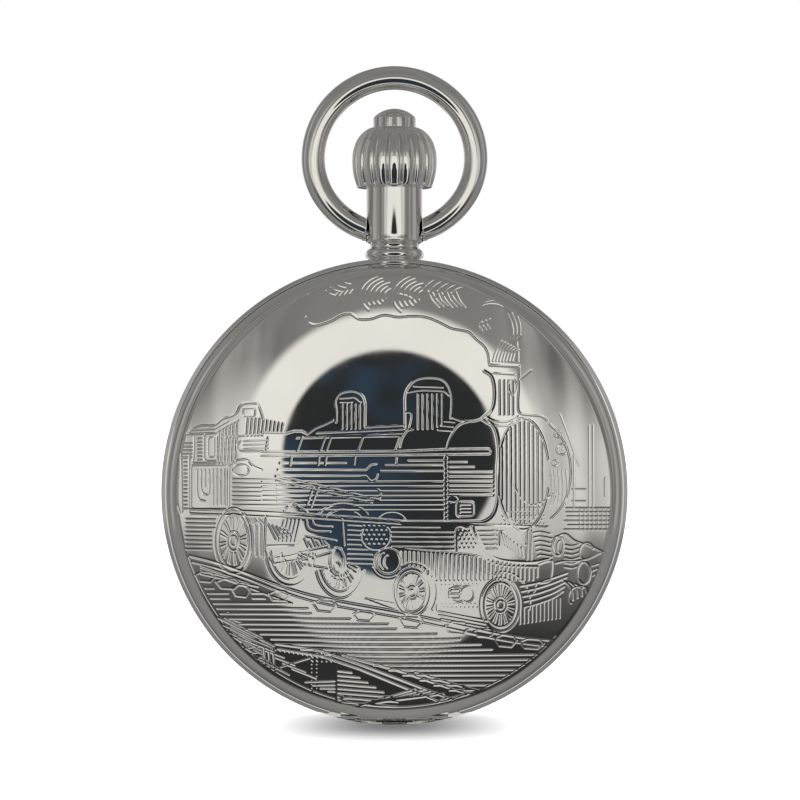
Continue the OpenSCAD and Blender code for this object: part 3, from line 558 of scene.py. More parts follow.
    # boiler shading
    stroke([(280, 463), (346, 463)], 1.9, 0.07)
    stroke([(278, 469.5), (366, 470)], 2.0, 0.07)
    stroke([(276, 475.5), (366, 476)], 2.0, 0.07)
    stroke(smooth([(366, 470), (371, 465), (377, 464)]), 2.0, 0.07)
    stroke(smooth([(366, 476), (371, 481), (376, 479), (378, 474)]), 2.0, 0.07)
    stroke([(380, 471), (445, 471)], 1.9, 0.07)
    stroke([(385, 465), (445, 465)], 1.9, 0.07)
    stroke([(408, 460.5), (444, 460.5)], 1.9, 0.07)
    stroke([(449, 462), (468, 462)], 1.9, 0.07)
    stroke([(449, 467), (475, 467)], 1.9, 0.07)
    for k in range(6):
        stroke([(449, 472 + 4.6 * k), (493, 472 + 4.6 * k)], 2.1, 0.075)
    for k in range(7):
        y = 481.5 + 4.8 * k
        stroke([(262 if k < 6 else 300, y), (444, y)], 1.9, 0.07)
    for k in range(15):
        stroke(ell(446.5, 458 + k * 4.4, 2.0, 2.2), 1.3, 0.055)
    # reach rods
    stroke([(276, 476), (330, 488), (379, 500)], 2.2, 0.08)
    stroke([(276, 481), (324, 492), (372, 503)], 2.2, 0.08)
    stroke(smooth([(379, 500), (381, 494), (378, 489)]), 2.0, 0.07)
    stroke([(313, 487), (307, 505)], 2.0, 0.075)
    stroke([(318, 488), (311, 507)], 2.0, 0.075)
    # blank works plate and firebox door frame
    stroke(rrect(457, 502, 475, 517, 3.5), 2.4, 0.08)
    for y in (506, 509.5, 513):
        stroke([(461, y), (471, y)], 2.0, 0.06)
    stroke(smooth([(449, 497), (456, 496), (459, 500), (455, 503), (448, 502)]), 2.0, 0.07)
    # edge of the boiler against the smokebox
    stroke(smooth([(488, 420), (495, 429), (498, 442), (499, 460), (498, 480), (497, 500), (493, 514), (484, 521), (470, 522), (400, 522)]), 3.4, 0.09)
    # tender and cab at the left
    stroke(smooth([(187, 434), (194, 428), (203, 425), (214, 425), (222, 419), (231, 416), (237, 412), (240, 406), (246, 403), (257, 404), (261, 412), (263, 419)]), 2.3, 0.075)
    stroke([(187, 434), (215, 433), (226, 426), (238, 420)], 2.1, 0.07)
    stroke([(190, 430), (214, 429), (228, 421)], 1.6, 0.055)
    stroke(rrect(243, 408, 255, 416, 2), 1.6, 0.055)
    for k, x in enumerate(np.arange(248, 287, 3.9)):
        stroke(smooth([(x, 418 + max(0, k - 3) * 0.9), (x - 0.8, 427), (x - 1.5, 433 + (k < 5) * 3)]), 1.9, 0.065)
    for k, x in enumerate(np.arange(219, 238, 3.6)):
        stroke([(x, 429 - k * 1.4), (x - 1.5, 464)], 1.8, 0.065)
    stroke([(225, 437), (240, 436), (262, 434)], 1.8, 0.06)
    stroke(rrect(204, 433, 218, 461, 3.5), 2.0, 0.07)
    stroke(rrect(208, 437, 214, 457, 2.5), 1.8, 0.06)
    stroke(smooth([(194, 437), (194, 450), (193, 461)]), 1.8, 0.06)
    for k in range(7):
        stroke([(197, 438 + 3.6 * k), (202, 438 + 3.6 * k)], 1.6, 0.06)
    stroke([(193, 463), (222, 463)], 2.0, 0.07)
    stroke(smooth([(240, 441), (237, 447), (241, 451), (262, 451)]), 2.0, 0.07)
    for k in range(3):
        stroke([(243, 441 + 4 * k), (268, 440 + 4 * k)], 1.8, 0.06)
    stroke([(268, 437), (266, 450)], 1.8, 0.06)
    stroke(smooth([(229, 470), (231, 463), (238, 460), (247, 460), (253, 466), (262, 470)]), 2.0, 0.07)
    stroke(ell(241, 470, 8, 5.5), 1.8, 0.06)
    stroke([(229, 470), (229, 506)], 2.0, 0.07)
    for k in range(7):
        stroke([(232, 479 + 4.3 * k), (276, 480 + 4.3 * k)], 1.9, 0.065)
    stroke(rrect(191, 465, 228, 509, 3), 1.8, 0.06)
    for k, x in enumerate((213, 217, 221, 225)):
        stroke([(x, 469), (x, 505)], 1.8, 0.065)
    stroke(smooth([(197, 470), (197, 490), (199, 499), (205, 501)]), 1.9, 0.065)
    stroke(smooth([(201, 470), (201, 488), (204, 494), (209, 492), (209, 470)]), 1.9, 0.065)
    stroke([(205, 470), (205, 486)], 1.9, 0.065)
    stroke([(181, 455), (182, 512)], 2.0, 0.07)
    stroke([(189, 455), (189, 512)], 2.0, 0.07)
    for k in range(14):
        stroke([(183.5, 458 + 3.9 * k), (187, 458 + 3.9 * k)], 1.7, 0.06)
    for k in range(5):
        stroke([(180 - k * 0.6, 443 + 3.6 * k), (192, 443 + 3.6 * k)], 1.8, 0.06)
    stroke([(176, 470), (176, 500), (180, 513)], 1.7, 0.055)
    # running board
    stroke([(188, 509), (240, 511), (300, 514), (360, 518), (400, 521)], 2.5, 0.085)
    stroke([(190, 513.5), (240, 515.5), (300, 518.5), (360, 522.5), (400, 525)], 2.2, 0.075)
    stroke([(400, 521), (500, 525), (548, 527)], 2.2, 0.07)
    # tender wheel and what is round it
    for k in range(8):
        stroke([(186, 519 + 4.3 * k), (211 + (k < 3) * 4, 519.5 + 4.3 * k)], 1.9, 0.07)
    wheel(233.5, 541, 19, 33, 12)
    for x in (257, 262):
        stroke([(x, 518), (x - 1, 556)], 1.9, 0.065)
    stroke([(266, 516), (264, 558)], 2.2, 0.075)
    for k in range(9):
        x = 243 + 2.6 * k
        stroke([(x - 4, 517), (x, 523 + (k % 3))], 1.5, 0.05)
    # driving wheels, half hidden by the rods
    wheel(290, 549, 25, 37, 13, 185, 352, hub=False)
    wheel(340, 561, 25, 37, 13, 196, 344, hub=False)
    stroke(smooth([(275, 564), (285, 562), (310, 558), (331, 552)]), 2.4, 0.085)
    stroke(smooth([(274, 558), (290, 556), (310, 550), (328, 546)]), 2.0, 0.075)
    stroke([(269, 557), (275, 565)], 2.2, 0.075)
    stroke(smooth([(303, 564), (315, 566), (328, 568)]), 2.0, 0.07)
    stroke(ell(337, 562, 7, 13), 2.4, 0.085)
    stroke(ell(337, 567, 3.6, 5.0), 2.0, 0.075)
    stroke([(335, 548), (341, 549), (342, 556)], 1.8, 0.07)
    stroke(ell(340, 562, 13, 17, 230, 330), 1.8, 0.06)
    # cylinder gear between the wheels
    for k in range(5):
        stroke([(268 + 4 * k, 524 + k), (276 + 4 * k, 540 - k)], 1.7, 0.065)
        stroke([(284 + 4 * k, 520), (279 + 4 * k, 541)], 1.7, 0.065)
    stroke(smooth([(306, 520), (308, 529), (317, 532), (330, 532)]), 2.2, 0.08)
    stroke(smooth([(312, 520), (314, 525), (322, 527), (332, 527)]), 2.0, 0.07)
    stroke([(267, 546), (295, 545), (304, 536)], 2.0, 0.075)
    for k in range(6):
        stroke([(304 + 4 * k, 538 + (k % 2) * 3), (308 + 4 * k, 547)], 1.6, 0.06)
    stroke([(305, 536), (336, 541)], 1.9, 0.07)
    stroke([(342, 519), (344, 546)], 2.0, 0.07)
    for k in range(9):
        y = 526 + 4.8 * k
        stroke([(348, y), (361 if k < 5 else 372, y + 0.6)], 1.9, 0.07)
    dots(364, 388, 526, 548, 5.0, 4.6, 2.5, 0.08)
    stroke(ell(376, 537, 15, 14, 150, 400), 1.8, 0.065)
    for k in range(5):
        stroke([(392, 528 + 4.8 * k), (455 if k > 0 else 440, 528.5 + 4.8 * k)], 2.0, 0.075)
    # arcs of the wheel tops over the board
    stroke(ell(343, 522, 27, 18, 25, 155), 2.3, 0.08)
    stroke(ell(343, 522, 19, 12, 25, 155), 2.0, 0.07)
    stroke(ell(392, 523, 14, 10, 10, 170), 2.0, 0.07)
    stroke(smooth([(284, 511), (292, 504), (302, 509), (307, 512)]), 2.0, 0.07)
    # lamp or whistle ball
    stroke(ell(388, 562, 13, 13), 3.2, 0.095)
    stroke(ell(386, 562, 7, 9, 110, 240), 2.2, 0.07)
    stroke(ell(391, 563, 7, 8, 120, 230), 2.2, 0.07)
    stroke(ell(388, 562, 16, 16, 200, 300), 1.7, 0.06)
    # second grille and the sweeping running plate
    dots(459, 477, 530, 551, 4.6, 4.2, 2.4, 0.075, lambda x, y: x < 463 + (y - 520) * 0.55 + 6)
    stroke(smooth([(456, 553), (456, 532), (460, 528), (466, 530)]), 1.9, 0.065)
    stroke(smooth([(472, 527), (475, 536), (481, 546), (490, 555), (501, 560), (517, 562), (535, 562), (549, 559)]), 3.4, 0.09)
    stroke(smooth([(398, 548), (425, 551), (455, 553), (478, 556), (490, 562), (505, 566), (538, 567)]), 2.2, 0.075)
    for k in range(5):
        stroke([(477 + 2.2 * k, 530 + 4.6 * k), (497, 530 + 4.6 * k)], 1.8, 0.06)
    for k in range(7):
        stroke([(500 + 3.6 * k, 531 + 2.8 * k), (504 + 3.2 * k, 545 + 2.0 * k)], 1.8, 0.06)
    stroke(smooth([(499, 545), (500, 533), (506, 532), (526, 545)]), 1.9, 0.065)
    stroke([(527, 529), (527, 560)], 2.2, 0.07)
    stroke([(531, 529), (531, 560)], 2.2, 0.07)
    # skirt hatching
    vlines(401, 541, 4.4, lambda x: 552 + max(0, (x - 440)) * 0.16, lambda x: (580 if x > 436 else 566 + max(0, x - 414) * 0.55) - (0 if x < 535 else 3), 2.0, 0.075)
    # carrying wheels
    wheel(412, 592, 18.5, 24, 12)
    stroke(ell(413, 592, 24, 29, -38, 118), 2.2, 0.075)
    stroke([(437, 585), (437, 611)], 2.0, 0.07)
    wheel(500.3, 605, 20, 27, 14)
    stroke(ell(503, 603, 27, 31, -12, 112), 2.2, 0.075)
    # axle box, spring and stones between them
    stroke(ell(458, 594, 9, 8, 60, 300), 2.0, 0.065)
    stroke(ell(467, 594, 7, 8), 2.0, 0.065)
    for k in range(3):
        stroke([(449, 589 + 4.5 * k), (461, 589 + 4.5 * k)], 1.8, 0.06)
    dots(441, 478, 584, 586, 4, 3, 1.8, 0.05)
    dots(442, 480, 604, 609, 4.2, 3.4, 1.8, 0.05)
    # head stock, buffers and front gear
    stroke(smooth([(539, 564), (548, 561), (552, 563), (550, 580), (541, 583)]), 2.4, 0.08)
    stroke(smooth([(536, 583), (534, 592), (529, 594)]), 2.0, 0.07)
    stroke(ell(558, 546, 5.5, 9.5), 2.4, 0.08)
    stroke(ell(560, 547, 2.6, 6, 80, 280), 1.7, 0.055)
    stroke(ell(584, 573, 6.5, 11), 2.4, 0.08)
    stroke(ell(587, 552, 7, 9, 20, 250), 2.0, 0.07)
    stroke(smooth([(555, 538), (565, 534), (575, 541), (590, 546), (603, 552)]), 2.0, 0.065)
    for k in range(6):
        stroke(smooth([(533 + k, 533 + 4.6 * k), (541, 532 + 4.6 * k), (550 + (k % 2) * 2, 534 + 4.6 * k)]), 1.8, 0.06)
        stroke(smooth([(565, 545 + 4.4 * k), (572, 546 + 4.4 * k), (579, 544 + 4.4 * k)]), 1.8, 0.06)
        stroke([(592 + k * 0.4, 566 + 5 * k), (601 - 2 * k, 563 + 5 * k)], 1.8, 0.06)
    stroke(smooth([(600, 553), (590, 558), (578, 561), (566, 561), (556, 563)]), 2.2, 0.075)
    for k in range(5):
        stroke(smooth([(521 + 1.2 * k, 586 + 5.2 * k), (537, 583 + 5.2 * k), (553, 578 + 5.0 * k), (567 - k, 573 + 4.6 * k)]), 2.4, 0.08)
    vlines(520, 560, 4.0, lambda x: 608 - (x - 520) * 0.25, lambda x: 624 - (x - 520) * 0.15, 1.9, 0.07)
    for k in range(4):
        stroke(smooth([(563 + 6 * k, 580 + 2 * k), (571 + 5 * k, 588), (573 + 4.6 * k, 600 - 2 * k)]), 2.2, 0.075)
    stroke(ell(578, 597, 9, 10, 60, 220), 2.0, 0.07)
    # far rail and stones
    rail = smooth([(190, 556), (214, 562), (243, 572), (275, 584), (310, 595), (350, 603), (400, 612), (450, 623), (500, 634), (545, 640), (592, 641)])
    stroke(rail, 3.0, 0.085)
    stroke(rail + np.array([2, 6.0]), 2.3, 0.075)
    stroke(np.concatenate([rail[8:28] + np.array([4, 15.0])]), 1.8, 0.06)
    for k in range(4):
        stroke([(437 + 2 * k, 611 + 4 * k), (487, 621 + 3.4 * k)], 1.9, 0.065)
        stroke([(365 + 5 * k, 598 + 1.8 * k), (396, 604 + 1.6 * k)], 1.8, 0.06)
    for k in range(5):
        stroke([(201, 566 + 0.5 * k * k), (222 + 9 * k, 573 + 3.4 * k)], 2.0, 0.07)
    stones = [(205, 577, 10, 5), (228, 584, 12, 5), (241, 591, 9, 6), (279, 596, 10, 5), (325, 606, 12, 6), (364, 616, 11, 5), (411, 622, 12, 6),
              (457, 628, 12, 6), (484, 633, 10, 4), (506, 641, 11, 6), (532, 644, 12, 5), (560, 645, 12, 4)]
    for x, y, a, h in stones:
        stroke([(x - a, y - h * 0.4), (x - a * 0.4, y - h), (x + a * 0.6, y - h * 0.9), (x + a, y - h * 0.1), (x + a * 0.5, y + h), (x - a * 0.6, y + h * 0.8), (x - a, y - h * 0.4)], 2.1, 0.075)
    # ground hatching below the rail
    rx, ry = rail[:, 0], rail[:, 1] + 14
    def below(x, y):
        if y < np.interp(x, rx, ry):
            return False
        for sx_, sy_, a, h in stones:
            if abs(x - sx_) < a + 2 and abs(y - sy_) < h + 2.5:
                return False
        # the bridge at the bottom left
        if y > 616 + (x - 212) * 0.45 - 3 and x < 276:
            return False
        if x >= 276 and y > 646 + (x - 276) * 0.22 - 2 and x < 336:
            return False
        if x >= 336 and y > 652 + (x - 336) * 0.34:
            return False
        return math.hypot(x - 397, y - 490) < 217
    edge = lambda s: (lambda y: 397 + s * math.sqrt(max(0, 217 ** 2 - (y - 490) ** 2)))
    hlines(edge(-1), edge(1), 578, 700, 5.1, 2.2, 0.085, inside=below)
    # bridge
    for d in (0, 4.5, 9):
        stroke([(212, 615 + d), (244, 631 + d), (274, 646 + d * 0.6)], 2.4, 0.085)
    stroke([(276, 644), (300, 647), (322, 651), (360, 664), (399, 679), (453, 700)], 2.6, 0.09)
    stroke([(278, 649), (322, 656), (360, 669), (396, 684), (440, 702)], 2.4, 0.085)
    stroke([(343, 655), (400, 671), (455, 690), (480, 697)], 2.4, 0.085)
    for k in range(6):
        stroke([(224 + 6 * k, 628 + 7 * k), (245 + 4 * k, 640 + 6.4 * k)], 2.1, 0.08)
        stroke([(236 + 5 * k, 650 + 5.5 * k), (262, 646 + 5.6 * k)], 1.9, 0.07)
    for x in (264, 268.5, 273):
        stroke([(x, 648), (x + 2, 676)], 2.3, 0.085)
    for k in range(9):
        a = math.radians(217 + 2.9 * k)
        x, y = 395 + 213 * math.cos(a), 490 - 213 * math.sin(a)
        stroke([(x, y), (262, y + (262 - x) * 0.53)], 2.1, 0.08)
        stroke([(x + 3, y - 6), (x + 12 + 2 * k, y - 4 + k)], 1.8, 0.07)
    for k in range(7):
        a = math.radians(245 + 2.2 * k)
        x, y = 395 + 212 * math.cos(a), 490 - 212 * math.sin(a)
        stroke([(x, y), (336, y + (k - 2) * 0.6)], 2.0, 0.07)
    for k in range(9):
        stroke([(276 + 4.5 * k, 650 + 0.7 * k)], 2.2, 0.075)
    for k in range(12):
        for x in (312, 317):
            stroke([(x, 656 + 4 * k)], 2.0, 0.07)
    for k in range(3):
        for j in range(5):
            stroke([(313 + 4.6 * j, 653 + 4 * k)], 2.0, 0.07)
    stroke([(273, 670), (290, 664), (310, 658)], 2.0, 0.07)
    stroke([(336, 664), (336, 704)], 2.2, 0.075)
    for k in range(9):
        stroke([(338, 671 + 4.4 * k), (352 + 8 * k if k < 6 else 398, 672.5 + 4.9 * k)], 2.0, 0.075)
    # slanting lines at the foot
    for k in range(5):
        stroke([(350 + 8 * k, 708 - 1.5 * k), (416 + 7 * k, 689 + 1.2 * k)], 2.2, 0.08)
    for k in range(5):
        stroke([(415 + 12 * k, 672 + 4 * k), (460 + 12 * k, 686 + 3 * k)], 2.1, 0.08)
        stroke([(440 + 10 * k, 700 - 2 * k), (500 + 9 * k, 688 - 4 * k)], 1.9, 0.07)
    # fine border where the scene meets the smooth rim
    stroke(ell(395, 490, 217, 217, 198, 318, 90), 1.8, 0.06)


draw_scene()


def height(x, y):
    """Cut depth below (or rise above) the cover's smooth surface, in mm."""
    fx = np.clip((x + EXT) / RES, 0, NPX - 1.001)
    fy = np.clip((y + EXT) / RES, 0, NPX - 1.001)
    ix, iy = fx.astype(int), fy.astype(int)
    tx, ty = fx - ix, fy - iy
    H = RISE * 0.5 - CUT
    # the graver went a little deeper on the boiler than at the rim
    k = 0.50 + 0.24 * np.exp(-(((np.asarray(x) + 0.25) / 9.5) ** 2 + ((np.asarray(y) - 2.2) / 9.5) ** 2) ** 1.5)
    return k * (H[iy, ix] * (1 - tx) * (1 - ty) + H[iy, ix + 1] * tx * (1 - ty) + H[iy + 1, ix] * (1 - tx) * ty + H[iy + 1, ix + 1] * tx * ty)


# ------------------------------------------------------------------ covers
def out_z(r):
    r = np.asarray(r, float)
    dome = DCZ + np.sqrt(DOME_R ** 2 - np.minimum(r, TX) ** 2)
    sh = SZ + np.sqrt(np.maximum(SR ** 2 - np.maximum(r - SX, 0) ** 2, 0))
    return np.where(r <= TX, dome, sh)


def soft_min(a, b, k):
    h = np.maximum(k - np.abs(a - b), 0) / k
    return np.minimum(a, b) - h * h * k / 4


def cover_mesh(name, side, body, node, n, engraved):
    """One shell: a grid over the dome, rings over the shoulder, the seam, and the hollow inside."""
    rg = 21.45
    u = np.linspace(-1, 1, n)
    U, V = np.meshgrid(u, u, indexing="ij")
    X = rg * U * np.sqrt(1 - V * V / 2)
    Y = rg * V * np.sqrt(1 - U * U / 2)
    R = np.hypot(X, Y)
    Z = out_z(R)
    if not engraved:
        Z = soft_min(Z, 7.0, 0.25)
    if engraved:
        # heights go along the surface normal
        hgt = height(X, Y)
        nx, ny, nz = X / DOME_R, Y / DOME_R, np.sqrt(1 - (R / DOME_R) ** 2)
        X, Y, Z = X + nx * hgt, Y + ny * hgt, Z + nz * hgt
    pts = [np.stack([X, Y, Z], -1).reshape(-1, 3)]
    # the border loop, counter-clockwise
    idx = np.arange(n * n).reshape(n, n)
    loop = np.concatenate([idx[:-1, 0], idx[-1, :-1], idx[:0:-1, -1], idx[0, :0:-1]])
    faces = [np.stack([idx[:-1, :-1], idx[1:, :-1], idx[1:, 1:], idx[:-1, 1:]], -1).reshape(-1, 4)]
    bx, by = rg * u, None
    P = pts[0][loop]
    ang = np.arctan2(P[:, 1], P[:, 0])
    L = len(loop)
    # profile outwards
    prof = []
    for r in np.linspace(rg + 0.07, TX + 0.2, 5):
        prof.append((r, float(out_z(r)), True))
    a_end = math.acos((SX_EDGE - SX) / SR)
    a_beg = math.acos(min(1, (TX + 0.2 - SX) / SR))
    for k in range(1, 22):
        a = a_beg + (a_end - a_beg) * k / 22
        prof.append((SX + SR * math.cos(a), SZ + SR * math.sin(a), False))
    prof += [(SX_EDGE - 0.01, BAND + 0.06, False), (SX_EDGE - 0.03, BAND + 0.012, False), (SX_EDGE - 0.08, BAND, False)]
    prof += [(r, BAND, False) for r in np.linspace(SX_EDGE - 0.3, 21.2, 9)]
    prof += [(21.06, BAND, False), (21.0, BAND + 0.06, False)]
    ri = DOME_R - COVER_T
    zi = lambda r: float(DCZ + math.sqrt(ri ** 2 - r * r) if engraved else soft_min(DCZ + math.sqrt(ri ** 2 - r * r), 6.45, 0.2))
    prof += [(21.0, zi(21.0) - 0.25, False), (20.95, zi(21.0) - 0.06, False), (20.8, zi(20.8), False)]
    prof += [(r, zi(r), False) for r in np.linspace(20.0, 0.35, 16)]
    rings = []
    for r, z, eng in prof:
        x, y = r * np.cos(ang), r * np.sin(ang)
        zz = np.full(L, z)
        if not engraved:
            pass
        if eng and engraved:
            hgt = height(x, y)
            zz = zz + hgt * math.sqrt(1 - (min(r, TX) / DOME_R) ** 2)
        # straight cut over the hinge
        inside_cut = (y < -(HINGE_Y + KN_R)) & (np.abs(x) < 12)
        y = np.where(inside_cut, -(HINGE_Y + KN_R), y)
        # hollows for the case's knuckles
        dy, dz = y + HINGE_Y, zz - BAND
        d = np.hypot(dy, dz)
        hit = np.zeros(L, bool)
        for k0, k1 in CASE_KN:
            hit |= (x > k0 - 0.05) & (x < k1 + 0.05)
        hit &= (d < KN_R + 0.1) & (r > 21.05)
        need = np.sqrt(np.maximum((KN_R + 0.1) ** 2 - dy ** 2, 0))
        zz = np.where(hit, BAND + np.maximum(need, dz), zz)
        rings.append(np.stack([x, y, zz], -1))
    base = n * n
    rings = np.array(rings)
    pts.append(rings.reshape(-1, 3))
    j = np.arange(L)
    j2 = (j + 1) % L
    faces.append(np.stack([loop[j], loop[j2], base + j2, base + j], -1)[:, ::-1])
    nr = len(rings)
    gf = grid_faces(nr, L) + base
    faces.append(gf[:, ::-1])
    verts = np.concatenate(pts)
    centre = len(verts)
    verts = np.concatenate([verts, [[0, 0, zi(0)]]])
    if side < 0:
        verts = verts * np.array([1, 1, -1])
    quads = np.concatenate(faces)
    last = base + (nr - 1) * L
    fan = np.stack([last + j, last + j2, np.full(L, centre)], -1)
    me = bpy.data.meshes.new(name)
    W = to_world(verts).astype(np.float32)
    nq, nt_ = len(quads), len(fan)
    me.vertices.add(len(W))
    me.vertices.foreach_set("co", W.ravel())
    me.loops.add(nq * 4 + nt_ * 3)
    me.polygons.add(nq + nt_)
    me.loops.foreach_set("vertex_index", np.concatenate([quads.ravel(), fan.ravel()]).astype(np.int32))
    start = np.concatenate([np.arange(nq) * 4, nq * 4 + np.arange(nt_) * 3]).astype(np.int32)
    me.polygons.foreach_set("loop_start", start)
    me.polygons.foreach_set("use_smooth", np.ones(nq + nt_, bool))
    me.update(calc_edges=True)
    me.validate()
    bm = bmesh.new()
    bm.from_mesh(me)
    bmesh.ops.recalc_face_normals(bm, faces=bm.faces)
    bm.to_mesh(me)
    bm.free()
    me.polygons.foreach_set("use_smooth", np.ones(len(me.polygons), bool))
    o = bpy.data.objects.new(name, me)
    bpy.context.scene.collection.objects.link(o)
    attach(o, body)
    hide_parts(node)
    o.data.materials.append(MATS["polished_nickel"])
    return o


cover_mesh("front_cover_shell", 1, "front_cover", "front_cover", 700, True)
cover_mesh("back_cover_shell", -1, "back_cover", "back_cover", 200, False)


def knuckle(name, x0, x1, z, body, mat="polished_nickel", r=KN_R):
    prof = fillet([(0, x0), (r, x0, 0.06), (r, x1, 0.06), (0, x1)], closed=False, seg=4)
    return lathe(name, prof, body, mat, 64, "x", (-HINGE_Y, z), closed=False)


for i, (a, c) in enumerate(LID_KN):
    knuckle(f"front_cover_knuckle_{i}", a, c, BAND, "front_cover")
    knuckle(f"back_cover_knuckle_{i}", a, c, -BAND, "back_cover")

# thumb lip of the back cover, beside the pendant
section = fillet([(22.3, 2.73), (23.28, 2.73, 0.06), (23.4, 2.85, 0.06), (23.3, 3.0, 0.1), (22.3, 3.32)], seg=4)
S_ = np.array(section)
rows = []
for t in np.linspace(-1, 1, 33):
    a = math.radians(24 + 90) + t * math.asin(1.6 / 23.0)
    k = max(0.02, (1 - abs(t) ** 5)) ** 0.6
    r_ = 22.3 + (S_[:, 0] - 22.3) * k
    z_ = 2.73 + (S_[:, 1] - 2.73) * (0.45 + 0.55 * k)
    rows.append(np.stack([r_ * math.cos(a), r_ * math.sin(a), -z_], -1))
rows = np.array(rows)
n1 = rows.shape[1]
fc = [tuple(f) for f in grid_faces(len(rows), n1)] + [tuple(range(n1)), tuple((len(rows) - 1) * n1 + i for i in range(n1))[::-1]]
new_object("back_cover_lip", to_world(rows).reshape(-1, 3), fc, "back_cover", "polished_nickel")
# ------------------------------------------------------------------ pendant, bow, crown, button
prof = fillet([(1.6, 23.3), (2.0, 23.3), (2.35, 23.36, 0.05), (2.42, 23.45, 0.05)], closed=False, seg=3)
prof = [(2.02, 22.9), (2.9, 23.0), (2.55, 23.30)]
prof += arc_pts(2.33, 24.02, 0.62, -72, 72, 18)
prof += [(2.46, 24.62), (2.44, 24.75), (2.45, 24.95)]
prof += arc_pts(2.62, 25.16, 0.20, 200, 120, 5)[0:0]
prof += [(2.5, 25.06), (2.72, 25.22), (2.86, 25.30), (2.905, 25.38), (2.91, 25.46), (2.88, 25.62), (2.855, 25.8), (2.85, 26.0), (2.85, 31.55)]
prof += arc_pts(2.65, 31.6, 0.2, 0, 90, 5)
prof += [(1.66, 31.8), (1.6, 31.72), (1.6, 22.9)]
lathe("pendant_turned", prof, "case", "polished_nickel", 192, "y", (0, 0), ("pendant_tube",))
# saddle where the pendant meets the case: a low flare that follows the band
seg = 160
rows = []
for k in range(9):
    t = k / 8
    rr = 2.35 + 0.95 * (1 - math.cos(t * math.pi / 2)) ** 1.0
    lift = 0.34 * (1 - math.sin(t * math.pi / 2))
    a = np.arange(seg) * 2 * math.pi / seg
    x, z = rr * np.cos(a), rr * np.sin(a) * 0.92
    y = np.sqrt(23.5 ** 2 - x * x) + lift - 0.02 - 0.06 * (np.abs(z) > 2.4)
    rows.append(np.stack([x, y, z], -1))
a = np.arange(seg) * 2 * math.pi / seg
rows.append(np.stack([rows[-1][:, 0], rows[-1][:, 1] - 0.5, rows[-1][:, 2]], -1))
rows.append(np.stack([2.35 * np.cos(a), np.full(seg, 22.9), 2.35 * np.sin(a) * 0.92], -1))
rows = np.array(rows)
fc = np.concatenate([grid_faces(len(rows), seg), np.stack([(len(rows) - 1) * seg + np.arange(seg), (len(rows) - 1) * seg + (np.arange(seg) + 1) % seg, (np.arange(seg) + 1) % seg, np.arange(seg)], -1)])
new_object("pendant_saddle", to_world(rows).reshape(-1, 3), fc, "case", "polished_nickel")

# bow: one bent wire, cut flat beside the pendant, with a pivot at each end
BOW_R, BOW_W, BOW_Y = 8.25, 1.2, 26.0
CY = BOW_Y + math.sqrt(BOW_R ** 2 - 9.0)
half = math.asin(3.0 / BOW_R)
ring = 56
t_in = np.linspace(half - 0.16, half + 0.16, 12)
th = np.concatenate([t_in, np.linspace(half + 0.19, 2 * math.pi - half - 0.19, 170), 2 * math.pi - t_in[::-1]])
w_ = np.arange(ring) * 2 * math.pi / ring
T_, W_ = np.meshgrid(th, w_, indexing="ij")
rad = BOW_R + BOW_W * np.cos(W_)
X = rad * np.sin(T_)
Y = CY - rad * np.cos(T_)
Z = BOW_W * np.sin(W_)
near_foot = Y < CY
X = np.where(near_foot & (T_ < math.pi), np.maximum(X, 2.88), X)
X = np.where(near_foot & (T_ > math.pi), np.minimum(X, -2.88), X)
Y = np.where(near_foot, CY - (CY - Y) * 0.925, Y)
rows = np.stack([X, Y, Z], -1)
verts = rows.reshape(-1, 3)
n0 = len(verts)
verts = np.concatenate([verts, [rows[0].mean(0), rows[-1].mean(0)]])
fc = [tuple(f) for f in grid_faces(len(rows), ring)]
for j in range(ring):
    fc.append((j, n0, (j + 1) % ring))
    fc.append(((len(rows) - 1) * ring + (j + 1) % ring, n0 + 1, (len(rows) - 1) * ring + j))
new_object("bow_wire", to_world(verts), fc, "bow", "polished_nickel", ("bow",))
for s_, nm in ((-1, "left"), (1, "right")):
    a, c = sorted((s_ * 1.8, s_ * 3.3))
    prof = fillet([(0, a), (0.6, a, 0.05), (0.6, c, 0.05), (0, c)], closed=False, seg=3)
    lathe(f"bow_pivot_{nm}", prof, "bow", "polished_nickel", 48, "x", (BOW_Y, 0), closed=False)

# crown: rounded flutes with narrow grooves between them
FL = 18
cy_ = [30.76, 30.80, 30.9, 31.1, 31.4, 31.8, 32.3, 32.9, 33.5, 34.1, 34.6, 35.0, 35.35, 35.65, 35.95, 36.2, 36.42, 36.6, 36.72, 36.8, 36.84]
cr_ = [3.66, 3.78, 3.87, 3.96, 4.06, 4.17, 4.27, 4.33, 4.35, 4.31, 4.22, 4.1, 3.96, 3.8, 3.6, 3.38, 3.14, 2.9, 2.68, 2.5, 2.36]


def flute(r, h, ang):
    ph = (ang * FL / (2 * math.pi)) % 1.0
    g = np.abs(ph - 0.5) * 2            # 0 in the middle of a flute, 1 at a groove
    env = np.clip((h - 30.78) / 0.35, 0, 1) * np.clip((36.75 - h) / 1.1, 0, 1)
    out_side = r > 2.4
    depth = 0.26 * g ** 8 + 0.16 * g ** 2
    return np.where(out_side, r - depth * env, r), h


rr = np.interp(np.linspace(0, len(cy_) - 1, 61), range(len(cr_)), cr_)
hh = np.interp(np.linspace(0, len(cy_) - 1, 61), range(len(cy_)), cy_)
prof = list(zip(rr, hh)) + [(2.26, 36.85), (2.2, 36.80), (2.2, 33.8), (0.62, 33.8), (0.62, 32.4), (3.0, 32.4), (3.0, 30.82), (3.05, 30.76)]
lathe("crown_fluted", prof, "stem_and_crown", "polished_nickel", 720, "y", (0, 0), ("crown",), mod=flute)

